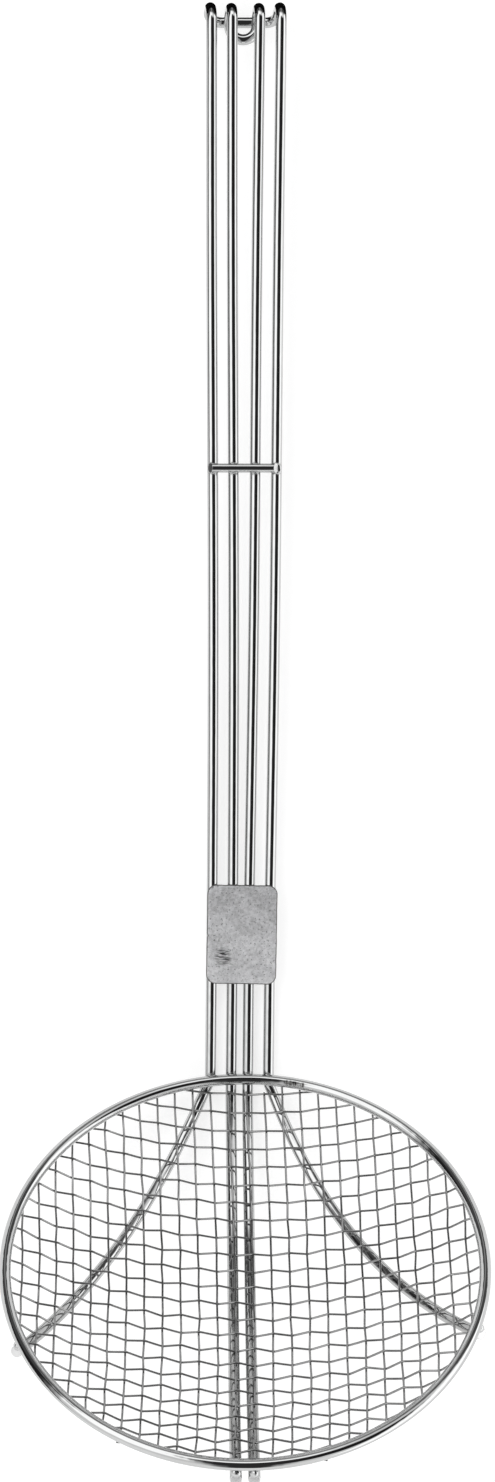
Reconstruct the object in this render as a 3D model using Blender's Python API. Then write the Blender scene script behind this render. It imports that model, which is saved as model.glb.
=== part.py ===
"""A long-handled wire mesh skimmer, in metres, +Z up, lying as it lies on a table.

Two bent wires, one inside the other, are the whole handle: ribs under the bowl, four rods,
and the hook. A wire hoop is the rim. Between hoop and ribs is a shallow bowl of woven cloth,
in which every wire is a piece of its own that goes over and under the wires it crosses.
A crossbar and a plain plate tie the rods together.

The handle points along +Y and rests on the back of its hook and on the bend under the rim.
The bowl faces up and back towards the hook, and its free edge is in the air at -Y.
"""

from math import asin, atan2, ceil, copysign, cos, floor, pi, radians, sin, sqrt, tan

import bpy
import numpy as np
from mathutils import Matrix, Vector

# Heavy wire
rod_diameter = 0.0042
crossbar_diameter = 0.0036
crossbar_length = 0.0266
seat_gap = 0.0003

# Rim and bowl
rim_outer_diameter = 0.176
bowl_sag = 0.0235
bend_angle = radians(47.5)

# Woven cloth
cloth_wire_diameter = 0.0008
crossing_gap = 0.00025
warp_pitch = 0.0067
warp_fan = 0.016
warp_lean = radians(0.8)
warp_bow = -0.0020
weft_pitch = 0.0071
weft_shift = 0.0015
weft_lean = radians(0.8)
weft_bow = 0.0008
cloth_overhang = 0.0006
cloth_trim_at_rods = 0.0020
share_near_crossing = 0.4

# Handle
handle_length = 0.4135
rod_spacing = 0.0078
inner_gap_at_hook = 0.0105
inner_gap_at_rim = 0.0063
handle_set_over = -0.0022
root_bend_radius = 0.012
crossbar_place = 0.2382
plate_place = 0.0619
plate_set_over = 0.0006
plate_turn = radians(-0.9)
plate_width = 0.0264
plate_height = 0.0374
plate_thickness = 0.0012
plate_corner_radius = 0.0034
plate_edge_radius = 0.0003

# Hook
inner_hook_radius = 0.0054
outer_hook_radius = 0.0070
outer_hook_lead = 0.0005
outer_hook_fall = radians(29.0)
cross_run_bend_radius = 0.0050
hook_lean = 0.10

# Ribs
rib_overhang = 0.0020
splay_lead = 0.0045
splay_bend_radius = 0.008
left_rib_end = radians(23.5)
left_splay_at_root = radians(25.5)
left_splay_at_end = radians(31.0)
right_rib_end = radians(18.0)
right_splay_at_root = radians(23.0)
right_splay_at_end = radians(42.0)

# How finely curves are cut
rim_steps = 72
rib_steps = 12
bend_steps = 5
hook_steps = 10
rod_bevel_resolution = 2
settling_rounds = 8

spread_place = plate_place + plate_height / 2
rod_radius = rod_diameter / 2
crossbar_radius = crossbar_diameter / 2
rim_radius = rim_outer_diameter / 2 - rod_radius

# A square wire with as much metal as the round one it stands for.
cloth_wire_side = cloth_wire_diameter * sqrt(pi) / 2
crimp = (cloth_wire_side + crossing_gap) / 2
cloth_half_thickness = crimp + cloth_wire_side / 2
seat_on_cloth = cloth_half_thickness + seat_gap + rod_radius

# The cloth's middle surface is part of one sphere, as are the ribs' centre lines below it.
cap_radius = (rim_radius**2 + bowl_sag**2) / (2 * bowl_sag)
cap_centre = sqrt((cap_radius - seat_on_cloth) ** 2 - rim_radius**2)
rib_cap_radius = cap_radius + seat_on_cloth


def clear_scene():
    for obj in list(bpy.data.objects):
        bpy.data.objects.remove(obj, do_unlink=True)


def finish(name, colour, roughness, metallic=1.0):
    """A plain material in the colour, roughness and metallic value of one kind of piece."""
    material = bpy.data.materials.new(name)
    material.use_nodes = True
    shader = material.node_tree.nodes["Principled BSDF"]
    shader.inputs["Base Color"].default_value = (*colour, 1.0)
    shader.inputs["Roughness"].default_value = roughness
    shader.inputs["Metallic"].default_value = metallic
    return material


def add_object(name, data, material, parent):
    data.materials.append(material)
    obj = bpy.data.objects.new(name, data)
    obj.parent = parent
    bpy.context.scene.collection.objects.link(obj)
    return obj


def round_wire(name, points, diameter, material, parent, closed=False):
    """A round wire along a line of points, with flat sheared ends or closed in a ring."""
    curve = bpy.data.curves.new(name, "CURVE")
    curve.dimensions = "3D"
    curve.bevel_depth = diameter / 2
    curve.bevel_resolution = rod_bevel_resolution
    curve.use_fill_caps = not closed
    spline = curve.splines.new("POLY")
    spline.points.add(len(points) - 1)
    for point, place in zip(spline.points, points):
        point.co = (*place, 1.0)
    spline.use_cyclic_u = closed
    spline.use_smooth = True
    return add_object(name, curve, material, parent)


def fillet(before, corner, after, radius, steps):
    """The points of an arc of this radius that rounds off the corner between two lines."""
    to_before = (before - corner).normalized()
    to_after = (after - corner).normalized()
    half = to_before.angle(to_after) / 2
    start = corner + to_before * radius / tan(half)
    centre = corner + (to_before + to_after).normalized() * radius / sin(half)
    spoke = start - centre
    turn = Matrix.Rotation((pi - 2 * half) / steps, 3, -to_before.cross(to_after))
    arc = [start]
    for _ in range(steps):
        spoke = turn @ spoke
        arc.append(centre + spoke)
    return arc


def cap_height(radius, across, along):
    """Height, in the rim's frame, of a sphere about the cap's centre at one place in plan."""
    return cap_centre - sqrt(radius**2 - across**2 - along**2)


def root_of_rod(across):
    """Where a rod meets the surface that the ribs follow, in the rim's frame.

    The rod's line touches the rim hoop's outer side, bent up from the rim's plane. It runs
    down past the hoop until it is as far from the cap's centre as the ribs are.
    """
    reach = rod_diameter + seat_gap
    along = rim_radius + reach * sin(bend_angle)
    height = -reach * cos(bend_angle)
    drop = height - cap_centre
    half_slope = along * cos(bend_angle) + drop * sin(bend_angle)
    short_of = rib_cap_radius**2 - across**2 - along**2 - drop**2
    travel = -half_slope - sqrt(half_slope**2 + short_of)
    return Vector((across, along + travel * cos(bend_angle), height + travel * sin(bend_angle)))


# The outer wire's back run lies behind the inner wire's, and what the handle rests on is its back.
cross_run_depth = 2 * inner_hook_radius + rod_diameter + seat_gap
outer_hook_turn = pi / 2 + outer_hook_fall
outer_hook_top = handle_length + outer_hook_lead
hook_corner_place = outer_hook_top + outer_hook_radius * (tan(outer_hook_turn / 2) - 1)
cross_run_place = hook_corner_place - cross_run_depth * tan(outer_hook_fall)
handle_rise = atan2(cross_run_depth, cross_run_place)
rim_rise = bend_angle - handle_rise

handle_turn = Matrix.Rotation(handle_rise, 4, "X")
rim_turn = Matrix.Rotation(-rim_rise, 4, "X")
rim_frame = rim_turn @ Matrix.Translation(-root_of_rod(0.0))
handle_from_rim = handle_turn.inverted() @ rim_frame


def set_over(place):
    """How far the handle's middle lies off the bowl's at one place along the handle."""
    return handle_set_over * (1 - place / handle_length)


def inner_half_gap(place):
    """Half the distance between the inner rods, which are parallel up to the top of the plate."""
    share = max(0.0, (place - spread_place) / (handle_length - spread_place))
    return (inner_gap_at_rim * (1 - share) + inner_gap_at_hook * share) / 2


def back_point(across, place, depth):
    """A point so deep behind the rods. The hook leans, so its back is a little to the left."""
    return Vector((across + set_over(place) - hook_lean * depth, place, -depth))


def rod_point(side, row, place, depth=0.0):
    """A point on a rod's line in the handle's frame. Row 0 is an inner rod, row 1 an outer."""
    return back_point(side * (inner_half_gap(place) + row * rod_spacing), place, depth)


def rib_on_cap(plan):
    """Lays a line drawn in plan on the ribs' surface, in the handle's frame."""
    return [
        handle_from_rim @ Vector((across, along, cap_height(rib_cap_radius, across, along)))
        for across, along in plan
    ]


def inner_rib(side):
    """A straight rib, from its sheared end past the free edge of the rim up to the root."""
    reach = rim_radius + rib_overhang
    across = side * inner_half_gap(0.0)
    end = Vector((across, -sqrt(reach**2 - across**2)))
    root = root_of_rod(rod_point(side, 0, 0.0).x).to_2d()
    return rib_on_cap([end.lerp(root, step / rib_steps) for step in range(rib_steps + 1)])


def outer_rib(side, end_angle, splay_at_root, splay_at_end):
    """A splayed rib: one smooth curve in plan between its directions at the end and the root.

    The wire turns out before it reaches the root, so that lies outside the rod's line.
    """
    reach = rim_radius + rib_overhang
    end = Vector((side * reach * cos(end_angle), -reach * sin(end_angle)))
    turned_out = side * splay_lead * tan(splay_at_root)
    root = root_of_rod(rod_point(side, 1, 0.0).x + turned_out).to_2d()
    gap_across = abs(end.x - root.x)
    gap_along = root.y - end.y
    first_run = (gap_across - gap_along * tan(splay_at_end)) / (
        sin(splay_at_root) - cos(splay_at_root) * tan(splay_at_end)
    )
    aim = root + first_run * Vector((side * sin(splay_at_root), -cos(splay_at_root)))
    plan = []
    for step in range(rib_steps + 1):
        share = step / rib_steps
        plan.append(end.lerp(aim, share).lerp(aim.lerp(root, share), share))
    return rib_on_cap(plan)


def inner_half(side):
    """Half of the inner wire, from a rib's end to the bottom of the U behind the hook."""
    arc_place = handle_length - inner_hook_radius
    rib = inner_rib(side)
    rod_start = rod_point(side, 0, spread_place)
    points = rib[:-1] + fillet(rib[-2], rib[-1], rod_start, root_bend_radius, bend_steps)
    points.append(rod_start)
    for step in range(hook_steps + 1):
        angle = pi * step / hook_steps
        place = arc_place + inner_hook_radius * sin(angle)
        points.append(rod_point(side, 0, place, inner_hook_radius * (1 - cos(angle))))
    u_radius = inner_half_gap(arc_place)
    for step in range(1, bend_steps + 1):
        angle = pi / 2 * step / bend_steps
        place = arc_place - u_radius * sin(angle)
        points.append(back_point(side * u_radius * cos(angle), place, 2 * inner_hook_radius))
    return points


def outer_half(side, rib):
    """Half of the outer wire, from a splayed rib's end to the middle of the cross-run."""
    root = rib[-1]
    turn_out = rod_point(side, 1, root.y + splay_lead)
    rod_start = rod_point(side, 1, spread_place)
    corner = rod_point(side, 1, hook_corner_place)
    behind = rod_point(side, 1, cross_run_place, cross_run_depth)
    middle = back_point(0.0, cross_run_place, cross_run_depth)
    points = rib[:-1] + fillet(rib[-2], root, turn_out, root_bend_radius, bend_steps)
    points += fillet(root, turn_out, rod_start, splay_bend_radius, bend_steps)
    points.append(rod_start)
    points += fillet(rod_start, corner, behind, outer_hook_radius, hook_steps)
    points += fillet(corner, behind, middle, cross_run_bend_radius, bend_steps)
    return points


def make_handle(parent):
    plating = finish("plated handle wire", (0.72, 0.72, 0.71), 0.22)
    left_rib = outer_rib(-1, left_rib_end, left_splay_at_root, left_splay_at_end)
    right_rib = outer_rib(1, right_rib_end, right_splay_at_root, right_splay_at_end)
    left = outer_half(-1, left_rib)
    right = outer_half(1, right_rib)
    round_wire("handle_outer_wire", left + right[::-1], rod_diameter, plating, parent)

    inner_plating = finish("plated inner wire", (0.72, 0.72, 0.71), 0.22)
    left = inner_half(-1)
    right = inner_half(1)
    round_wire("handle_inner_wire", left + right[-2::-1], rod_diameter, inner_plating, parent)


def make_crossbar(parent):
    plating = finish("plated crossbar wire", (0.70, 0.70, 0.69), 0.25)
    half = Vector((crossbar_length / 2, 0, 0))
    height = rod_radius + seat_gap + crossbar_radius
    centre = Vector((set_over(crossbar_place), crossbar_place, height))
    round_wire("crossbar", [centre - half, centre + half], crossbar_diameter, plating, parent)


def rounded_outline(width, height, radius, steps):
    """The corners of a rectangle with round corners, anticlockwise."""
    points = []
    for quarter in range(4):
        across = (width / 2 - radius) * (1 if quarter in (0, 3) else -1)
        along = (height / 2 - radius) * (1 if quarter in (0, 1) else -1)
        for step in range(steps + 1):
            angle = pi / 2 * (quarter + step / steps)
            points.append((across + radius * cos(angle), along + radius * sin(angle)))
    return points


def make_plate(parent):
    """A plain sheet plate across the front of the four rods, with its edges eased."""
    steel = finish("worn plate steel", (0.45, 0.45, 0.44), 0.5)
    outline = rounded_outline(plate_width, plate_height, plate_corner_radius, bend_steps)
    count = len(outline)
    corners = [(x, y, z) for z in (0.0, plate_thickness) for x, y in outline]
    faces = [tuple(reversed(range(count))), tuple(range(count, 2 * count))]
    for index in range(count):
        after = (index + 1) % count
        faces.append((index, after, count + after, count + index))
    mesh = bpy.data.meshes.new("handle_plate")
    mesh.from_pydata(corners, [], faces)
    plate = add_object("handle_plate", mesh, steel, parent)
    across = set_over(plate_place) + plate_set_over
    plate.location = (across, plate_place, rod_radius + seat_gap)
    plate.rotation_euler.z = plate_turn
    edge = plate.modifiers.new("eased edge", "BEVEL")
    edge.width = plate_edge_radius
    edge.segments = 2
    edge.limit_method = "ANGLE"
    edge.angle_limit = radians(60)


def make_rim(parent):
    plating = finish("plated rim wire", (0.74, 0.74, 0.73), 0.18)
    ring = []
    for step in range(rim_steps):
        angle = 2 * pi * step / rim_steps
        ring.append((rim_radius * cos(angle), rim_radius * sin(angle), 0.0))
    round_wire("rim_hoop", ring, rod_diameter, plating, parent, closed=True)


def wire_places(pitch, shift):
    """Where parallel wires lie in plan when they are evenly spaced over the curve of the cap.

    There are as many as fit inside the hoop, and one of them lies this shift off its middle.
    """
    reach = cap_radius * asin((rim_radius - rod_radius) / cap_radius)
    first = ceil((-reach - shift) / pitch)
    last = floor((reach - shift) / pitch)
    arc = np.arange(first, last + 1) * pitch + shift
    return cap_radius * np.sin(arc / cap_radius)


def warp_across(place, along):
    """How far across the bowl a warp lies. Warps fan out towards the handle, lean and bow."""
    share = along / rim_radius
    return place * (1 + warp_fan * share) - tan(warp_lean) * along + warp_bow * share**2


def weft_along(place, across):
    """How far along the bowl a weft lies. Wefts lean and bow."""
    return place - tan(weft_lean) * across + weft_bow * (across / rim_radius) ** 2


def crossing_places(warps, wefts):
    """How far along the bowl each warp crosses each weft, and how far across it."""
    across = np.repeat(warps[:, None], len(wefts), axis=1)
    for _ in range(settling_rounds):
        along = weft_along(wefts, across)
        across = warp_across(warps[:, None], along)
    return along, across


def wire_end(line, place, reach):
    """How far along itself a wire comes to this distance from the bowl's middle."""
    end = 0.0
    for _ in range(settling_rounds):
        end = copysign(sqrt(reach**2 - line(place, end) ** 2), reach)
    return end


def wire_stations(places, lifts, pitch, low, high):
    """Stations along one wire: its two ends and each crossing, with the lift at each.

    An end that lies close to a crossing is lifted as the crossing is, and any other end
    rises to meet the hoop. A crossing within a wire's width of an end is that end.
    """
    inside = (places > low + cloth_wire_side) & (places < high - cloth_wire_side)
    ends = []
    for end in (low, high):
        nearest = np.argmin(abs(places - end))
        close = abs(places[nearest] - end) < pitch * share_near_crossing
        ends.append(lifts[nearest] if close else crimp)
    stations = np.concatenate(([low], places[inside], [high]))
    return stations, np.concatenate((ends[:1], lifts[inside], ends[1:]))


def square_wire(name, plan, lifts, material, parent):
    """A wire of the cloth as a square tube, whose flats lie along the surface of the bowl."""
    centres = np.empty((len(plan), 3))
    centres[:, :2] = plan
    centres[:, 2] = cap_centre - np.sqrt(cap_radius**2 - (plan**2).sum(axis=1))
    up = (np.array([0.0, 0.0, cap_centre]) - centres) / cap_radius
    centres += up * lifts[:, None]
    run = np.gradient(centres, axis=0)
    run /= np.linalg.norm(run, axis=1)[:, None]
    side = np.cross(run, up)
    side /= np.linalg.norm(side, axis=1)[:, None]
    up = np.cross(side, run)
    half = cloth_wire_side / 2
    turns = ((-1, 1), (1, 1), (1, -1), (-1, -1))
    rings = np.stack([centres + half * (s * side + u * up) for s, u in turns], axis=1)
    faces = [(3, 2, 1, 0)]
    for start in range(0, 4 * (len(plan) - 1), 4):
        for corner in range(4):
            after = (corner + 1) % 4
            faces.append((start + corner, start + after, start + 4 + after, start + 4 + corner))
    last = 4 * (len(plan) - 1)
    faces.append((last, last + 1, last + 2, last + 3))
    mesh = bpy.data.meshes.new(name)
    mesh.from_pydata(rings.reshape(-1, 3), [], faces)
    add_object(name, mesh, material, parent)


def make_cloth(parent):
    """The woven bowl: warp wires along the handle's direction, weft wires across it."""
    warp_finish = finish("plated warp wire", (0.66, 0.66, 0.65), 0.28)
    weft_finish = finish("plated weft wire", (0.66, 0.66, 0.65), 0.28)
    warps = wire_places(warp_pitch, warp_pitch / 2)
    wefts = wire_places(weft_pitch, weft_shift)
    along, across = crossing_places(warps, wefts)
    edge = rim_radius + cloth_overhang
    trimmed = rim_radius - cloth_trim_at_rods
    rods_reach = inner_half_gap(0.0) + rod_spacing + rod_diameter

    for row, place in enumerate(warps):
        lifts = -crimp * (-1.0) ** (np.arange(len(wefts)) + row)
        over_rods = abs(warp_across(place, trimmed) - set_over(0.0)) < rods_reach
        low = wire_end(warp_across, place, -edge)
        high = wire_end(warp_across, place, trimmed if over_rods else edge)
        stations, heights = wire_stations(along[row], lifts, weft_pitch, low, high)
        plan = np.stack((warp_across(place, stations), stations), axis=1)
        square_wire(f"cloth_warp_{row + 1:02d}", plan, heights, warp_finish, parent)

    for row, place in enumerate(wefts):
        lifts = crimp * (-1.0) ** (np.arange(len(warps)) + row)
        low = wire_end(weft_along, place, -edge)
        high = wire_end(weft_along, place, edge)
        stations, heights = wire_stations(across[:, row], lifts, warp_pitch, low, high)
        plan = np.stack((stations, weft_along(place, stations)), axis=1)
        square_wire(f"cloth_weft_{row + 1:02d}", plan, heights, weft_finish, parent)


def stand_on_table(skimmer):
    """Moves the whole skimmer so that its box is centred on the origin, with its foot at zero."""
    bpy.context.view_layer.update()
    graph = bpy.context.evaluated_depsgraph_get()
    corners = []
    for obj in bpy.context.scene.objects:
        if obj.type == "EMPTY":
            continue
        evaluated = obj.evaluated_get(graph)
        mesh = evaluated.to_mesh()
        points = np.empty(len(mesh.vertices) * 3, np.float32)
        mesh.vertices.foreach_get("co", points)
        evaluated.to_mesh_clear()
        world = np.array(evaluated.matrix_world)
        points = points.reshape(-1, 3) @ world[:3, :3].T + world[:3, 3]
        corners += [points.min(axis=0), points.max(axis=0)]
    low, high = np.min(corners, axis=0), np.max(corners, axis=0)
    middle = (low + high) / 2
    skimmer.location = (-middle[0], -middle[1], -low[2])


def add_frame(name, turn, parent=None):
    frame = bpy.data.objects.new(name, None)
    frame.parent = parent
    frame.matrix_local = turn
    bpy.context.scene.collection.objects.link(frame)
    return frame


def make_skimmer():
    clear_scene()
    skimmer = add_frame("skimmer", Matrix.Identity(4))
    handle = add_frame("handle_frame", handle_turn, skimmer)
    bowl = add_frame("rim_frame", rim_frame, skimmer)
    make_rim(bowl)
    make_cloth(bowl)
    make_handle(handle)
    make_crossbar(handle)
    make_plate(handle)
    stand_on_table(skimmer)


make_skimmer()
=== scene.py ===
"""The looks of a long-handled wire mesh skimmer: its wires, cloth, plate, light and camera.

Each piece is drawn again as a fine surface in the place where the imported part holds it, and
stands for that part. Lengths are in metres and angles in radians, +Z is up, and the skimmer
lies on the floor with its hook at +Y and its bowl at -Y.
"""

import logging
from dataclasses import dataclass, field
from enum import Enum
from functools import partial
from math import acos, asin, atan2, ceil, copysign, cos, floor, pi, radians, sin, sqrt, tan
from typing import Any, Callable

import bpy
import numpy as np
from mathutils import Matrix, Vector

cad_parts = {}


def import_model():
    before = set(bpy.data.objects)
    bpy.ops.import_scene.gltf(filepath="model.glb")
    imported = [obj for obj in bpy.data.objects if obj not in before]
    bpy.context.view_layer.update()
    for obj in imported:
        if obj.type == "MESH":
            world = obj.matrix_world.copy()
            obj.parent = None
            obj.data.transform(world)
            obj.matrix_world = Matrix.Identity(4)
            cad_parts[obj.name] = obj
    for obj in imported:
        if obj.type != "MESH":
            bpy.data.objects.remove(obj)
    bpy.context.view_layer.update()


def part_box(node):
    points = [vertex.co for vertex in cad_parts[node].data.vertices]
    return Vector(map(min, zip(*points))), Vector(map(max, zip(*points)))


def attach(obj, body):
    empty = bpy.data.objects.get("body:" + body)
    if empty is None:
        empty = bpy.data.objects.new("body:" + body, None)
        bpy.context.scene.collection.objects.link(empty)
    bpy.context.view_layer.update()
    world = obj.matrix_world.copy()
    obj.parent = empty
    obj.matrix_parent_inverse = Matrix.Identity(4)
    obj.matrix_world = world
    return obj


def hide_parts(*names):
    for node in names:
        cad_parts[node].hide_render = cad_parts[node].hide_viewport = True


log = logging.getLogger("skimmer")

MILLIMETRE = 0.001
BODY = "root"
UV_MAP = "along_wire"

# Each rod's side and row, from left to right.
RODS = ((-1, 1), (-1, 0), (1, 0), (1, 1))

# What a Map Range node needs to be a smooth step, and a Mix node to mix colours.
SMOOTH = {"interpolation_type": "SMOOTHSTEP"}
COLOURS = {"data_type": "RGBA", "out": 2}


@dataclass(frozen=True)
class Sizes:
    """The skimmer's driving dimensions, as its parts are made to them."""

    rod_diameter: float = 0.0042
    crossbar_diameter: float = 0.0036
    crossbar_length: float = 0.0266
    seat_gap: float = 0.0003

    rim_outer_diameter: float = 0.176
    bowl_sag: float = 0.0235
    bend_angle: float = radians(47.5)

    cloth_wire_diameter: float = 0.0008
    crossing_gap: float = 0.00025
    warp_pitch: float = 0.0067
    warp_fan: float = 0.016
    warp_lean: float = radians(0.8)
    warp_bow: float = -0.0020
    weft_pitch: float = 0.0071
    weft_shift: float = 0.0015
    weft_lean: float = radians(0.8)
    weft_bow: float = 0.0008
    cloth_trim_at_rods: float = 0.0020
    share_near_crossing: float = 0.4

    handle_length: float = 0.4134
    rod_spacing: float = 0.0078
    inner_gap_at_hook: float = 0.0105
    inner_gap_at_rim: float = 0.0063
    handle_set_over: float = -0.0022
    rod_bow: float = 0.00055
    rod_bow_length: float = 0.35
    right_rod_stray: float = 0.00032
    handle_lift: float = 0.00005
    root_bend_radius: float = 0.012
    crossbar_place: float = 0.2382
    plate_place: float = 0.0619
    plate_set_over: float = 0.0006
    plate_turn: float = radians(-0.9)
    plate_width: float = 0.0264
    plate_height: float = 0.0374
    plate_thickness: float = 0.0012
    plate_corner_radius: float = 0.0034

    inner_hook_radius: float = 0.0054
    outer_hook_radius: float = 0.0070
    outer_hook_lead: float = 0.0005
    outer_hook_fall: float = radians(29.0)
    cross_run_bend_radius: float = 0.0050
    hook_lean: float = 0.10

    rib_overhang: float = 0.0020
    splay_lead: float = 0.0045
    splay_bend_radius: float = 0.008
    left_rib_end: float = radians(23.5)
    left_splay_at_root: float = radians(25.5)
    left_splay_at_end: float = radians(31.0)
    right_rib_end: float = radians(18.0)
    right_splay_at_root: float = radians(23.0)
    right_splay_at_end: float = radians(42.0)

    @property
    def rod_radius(self) -> float:
        """Radius of the handle's rods and of the hoop's wire."""
        return self.rod_diameter / 2

    @property
    def rim_radius(self) -> float:
        """Radius of the hoop's centre line."""
        return self.rim_outer_diameter / 2 - self.rod_radius

    @property
    def cap_radius(self) -> float:
        """Radius of the sphere that the cloth's middle surface is part of."""
        return (self.rim_radius**2 + self.bowl_sag**2) / (2 * self.bowl_sag)

    @property
    def seat_on_cloth(self) -> float:
        """From the cloth's middle surface to the centre line of a rod that lies on it."""
        side = self.cloth_wire_diameter * sqrt(pi) / 2
        return (side + self.crossing_gap) / 2 + side / 2 + self.seat_gap + self.rod_radius

    @property
    def cap_centre(self) -> float:
        """Height of the sphere's centre over the hoop's plane."""
        return sqrt((self.cap_radius - self.seat_on_cloth) ** 2 - self.rim_radius**2)

    @property
    def rib_cap_radius(self) -> float:
        """Radius of the sphere that the ribs' centre lines lie on."""
        return self.cap_radius + self.seat_on_cloth


def unit(vector: np.ndarray) -> np.ndarray:
    """The vector, or each vector in the last axis, at length one."""
    return vector / np.linalg.norm(vector, axis=-1, keepdims=True)


def turned_about_x(angle: float) -> np.ndarray:
    """The matrix of a turn about the X axis."""
    return np.array([[1, 0, 0], [0, cos(angle), -sin(angle)], [0, sin(angle), cos(angle)]])


@dataclass(frozen=True)
class Seat:
    """A turned and shifted frame in which a sub-assembly is drawn.

    Attributes:
        origin: Where its origin lies in the world.
        turn: The matrix of its turn, with its axes as columns.
    """

    origin: np.ndarray
    turn: np.ndarray

    def place(self, points: np.ndarray) -> np.ndarray:
        """The points of this frame in the world."""
        return np.asarray(points, float) @ self.turn.T + self.origin


class Layout:
    """Where the handle and the bowl lie, and every line that a wire follows."""

    def __init__(self, sizes: Sizes) -> None:
        """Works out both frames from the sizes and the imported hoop's place.

        Args:
            sizes: The skimmer's driving dimensions.
        """
        self.sizes = sizes
        s = sizes
        self.cross_run_depth = 2 * s.inner_hook_radius + s.rod_diameter + s.seat_gap
        turn = pi / 2 + s.outer_hook_fall
        top = s.handle_length + s.outer_hook_lead
        self.hook_corner_place = top + s.outer_hook_radius * (tan(turn / 2) - 1)
        fall = self.cross_run_depth * tan(s.outer_hook_fall)
        self.cross_run_place = self.hook_corner_place - fall
        self.spread_place = s.plate_place + s.plate_height / 2
        rise = atan2(self.cross_run_depth, self.cross_run_place)
        low, high = (np.array(corner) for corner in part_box("rim_hoop"))
        self.bowl = Seat((low + high) / 2, turned_about_x(rise - s.bend_angle))
        root = self.bowl.place(self.root_of_rod(0.0)) + np.array([0.0, 0.0, s.handle_lift])
        self.handle = Seat(root, turned_about_x(rise))

    def root_of_rod(self, across: float) -> np.ndarray:
        """Where a rod's line comes down to the ribs' sphere, in the bowl's frame.

        Args:
            across: How far the rod lies from the bowl's middle.

        Returns:
            The point on the line that touches the hoop's outer side and is bent up from
            its plane, as far from the sphere's centre as the ribs are.
        """
        s = self.sizes
        reach = s.rod_diameter + s.seat_gap
        along = s.rim_radius + reach * sin(s.bend_angle)
        height = -reach * cos(s.bend_angle)
        drop = height - s.cap_centre
        half_slope = along * cos(s.bend_angle) + drop * sin(s.bend_angle)
        short_of = s.rib_cap_radius**2 - across**2 - along**2 - drop**2
        travel = -half_slope - sqrt(half_slope**2 + short_of)
        rise = np.array([cos(s.bend_angle), sin(s.bend_angle)]) * travel
        return np.array([across, along + rise[0], height + rise[1]])

    def set_over(self, place: float) -> float:
        """How far the handle's middle lies off the bowl's at one place along the handle."""
        return self.sizes.handle_set_over * (1 - place / self.sizes.handle_length)

    def inner_half_gap(self, place: float) -> float:
        """Half the gap between the inner rods, parallel up to the plate's top, then a straight spread.

        Args:
            place: Where along the handle.

        Returns:
            Half the distance between the two rods' centre lines there.
        """
        s = self.sizes
        share = max(0.0, (place - self.spread_place) / (s.handle_length - self.spread_place))
        return (s.inner_gap_at_rim * (1 - share) + s.inner_gap_at_hook * share) / 2

    def rod_bow(self, place: float) -> float:
        """How far the real rods bow to the right: a squared sine over their lower part.

        Args:
            place: Where along the handle.

        Returns:
            The bow there.
        """
        s = self.sizes
        share = min(max(place / s.rod_bow_length, 0.0), 1.0)
        return s.rod_bow * sin(pi * share) ** 2

    def behind(self, across: float, place: float, depth: float) -> np.ndarray:
        """A world point so deep behind the rods, a little to the left as the hook leans."""
        off = self.set_over(place) + self.rod_bow(place) - self.sizes.hook_lean * depth
        return self.handle.place(np.array([across + off, place, -depth]))

    def rod_point(self, side: int, row: int, place: float, depth: float = 0.0) -> np.ndarray:
        """A world point on a rod's line.

        Args:
            side: -1 for a left rod, 1 for a right one.
            row: 0 for an inner rod, 1 for an outer.
            place: Where along the handle.
            depth: How far behind the rods' plane.

        Returns:
            The point.
        """
        s = self.sizes
        across = side * (self.inner_half_gap(place) + row * s.rod_spacing)
        if side * row > 0:
            across += s.right_rod_stray * min(max(place / s.rod_bow_length, 0.0), 1.0)
        return self.behind(across, place, depth)

    def on_sphere(self, plan: np.ndarray, radius: float, lifts: np.ndarray | float = 0.0) -> np.ndarray:
        """World points over a line drawn in plan, on a sphere of this radius less each lift.

        Args:
            plan: Across and along for each point, in the bowl's frame.
            radius: The sphere's radius about the cap's centre.
            lifts: How far each point lies inside the sphere.

        Returns:
            One world point for each row of the plan.
        """
        depth = np.sqrt(radius**2 - (plan**2).sum(axis=1))
        below = np.column_stack((plan, -depth))
        below *= (1 - np.asarray(lifts) / radius)[..., None] if np.ndim(lifts) else 1 - lifts / radius
        below[:, 2] += self.sizes.cap_centre
        return self.bowl.place(below)

    def towards_cap_centre(self, points: np.ndarray) -> np.ndarray:
        """Unit vectors from world points to the centre of the cap's sphere."""
        centre = self.bowl.place(np.array([0.0, 0.0, self.sizes.cap_centre]))
        return unit(centre - points)


def fillet(
    before: np.ndarray, corner: np.ndarray, after: np.ndarray, radius: float, steps: int
) -> np.ndarray:
    """The arc that rounds off a corner: its centre, plus one spoke by cosine and one by sine.

    Args:
        before: A point on the line into the corner.
        corner: Where the two lines meet.
        after: A point on the line out of the corner.
        radius: The arc's radius.
        steps: How many steps the arc is cut into.

    Returns:
        The points of the arc, from the first line to the second.
    """
    to_before = unit(before - corner)
    to_after = unit(after - corner)
    half = acos(float(np.clip(to_before @ to_after, -1, 1))) / 2
    centre = corner + unit(to_before + to_after) * radius / sin(half)
    spoke = corner + to_before * radius / tan(half) - centre
    angle = np.linspace(0, pi - 2 * half, steps + 1)[:, None]
    return centre + spoke * np.cos(angle) - to_before * radius * np.sin(angle)


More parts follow.
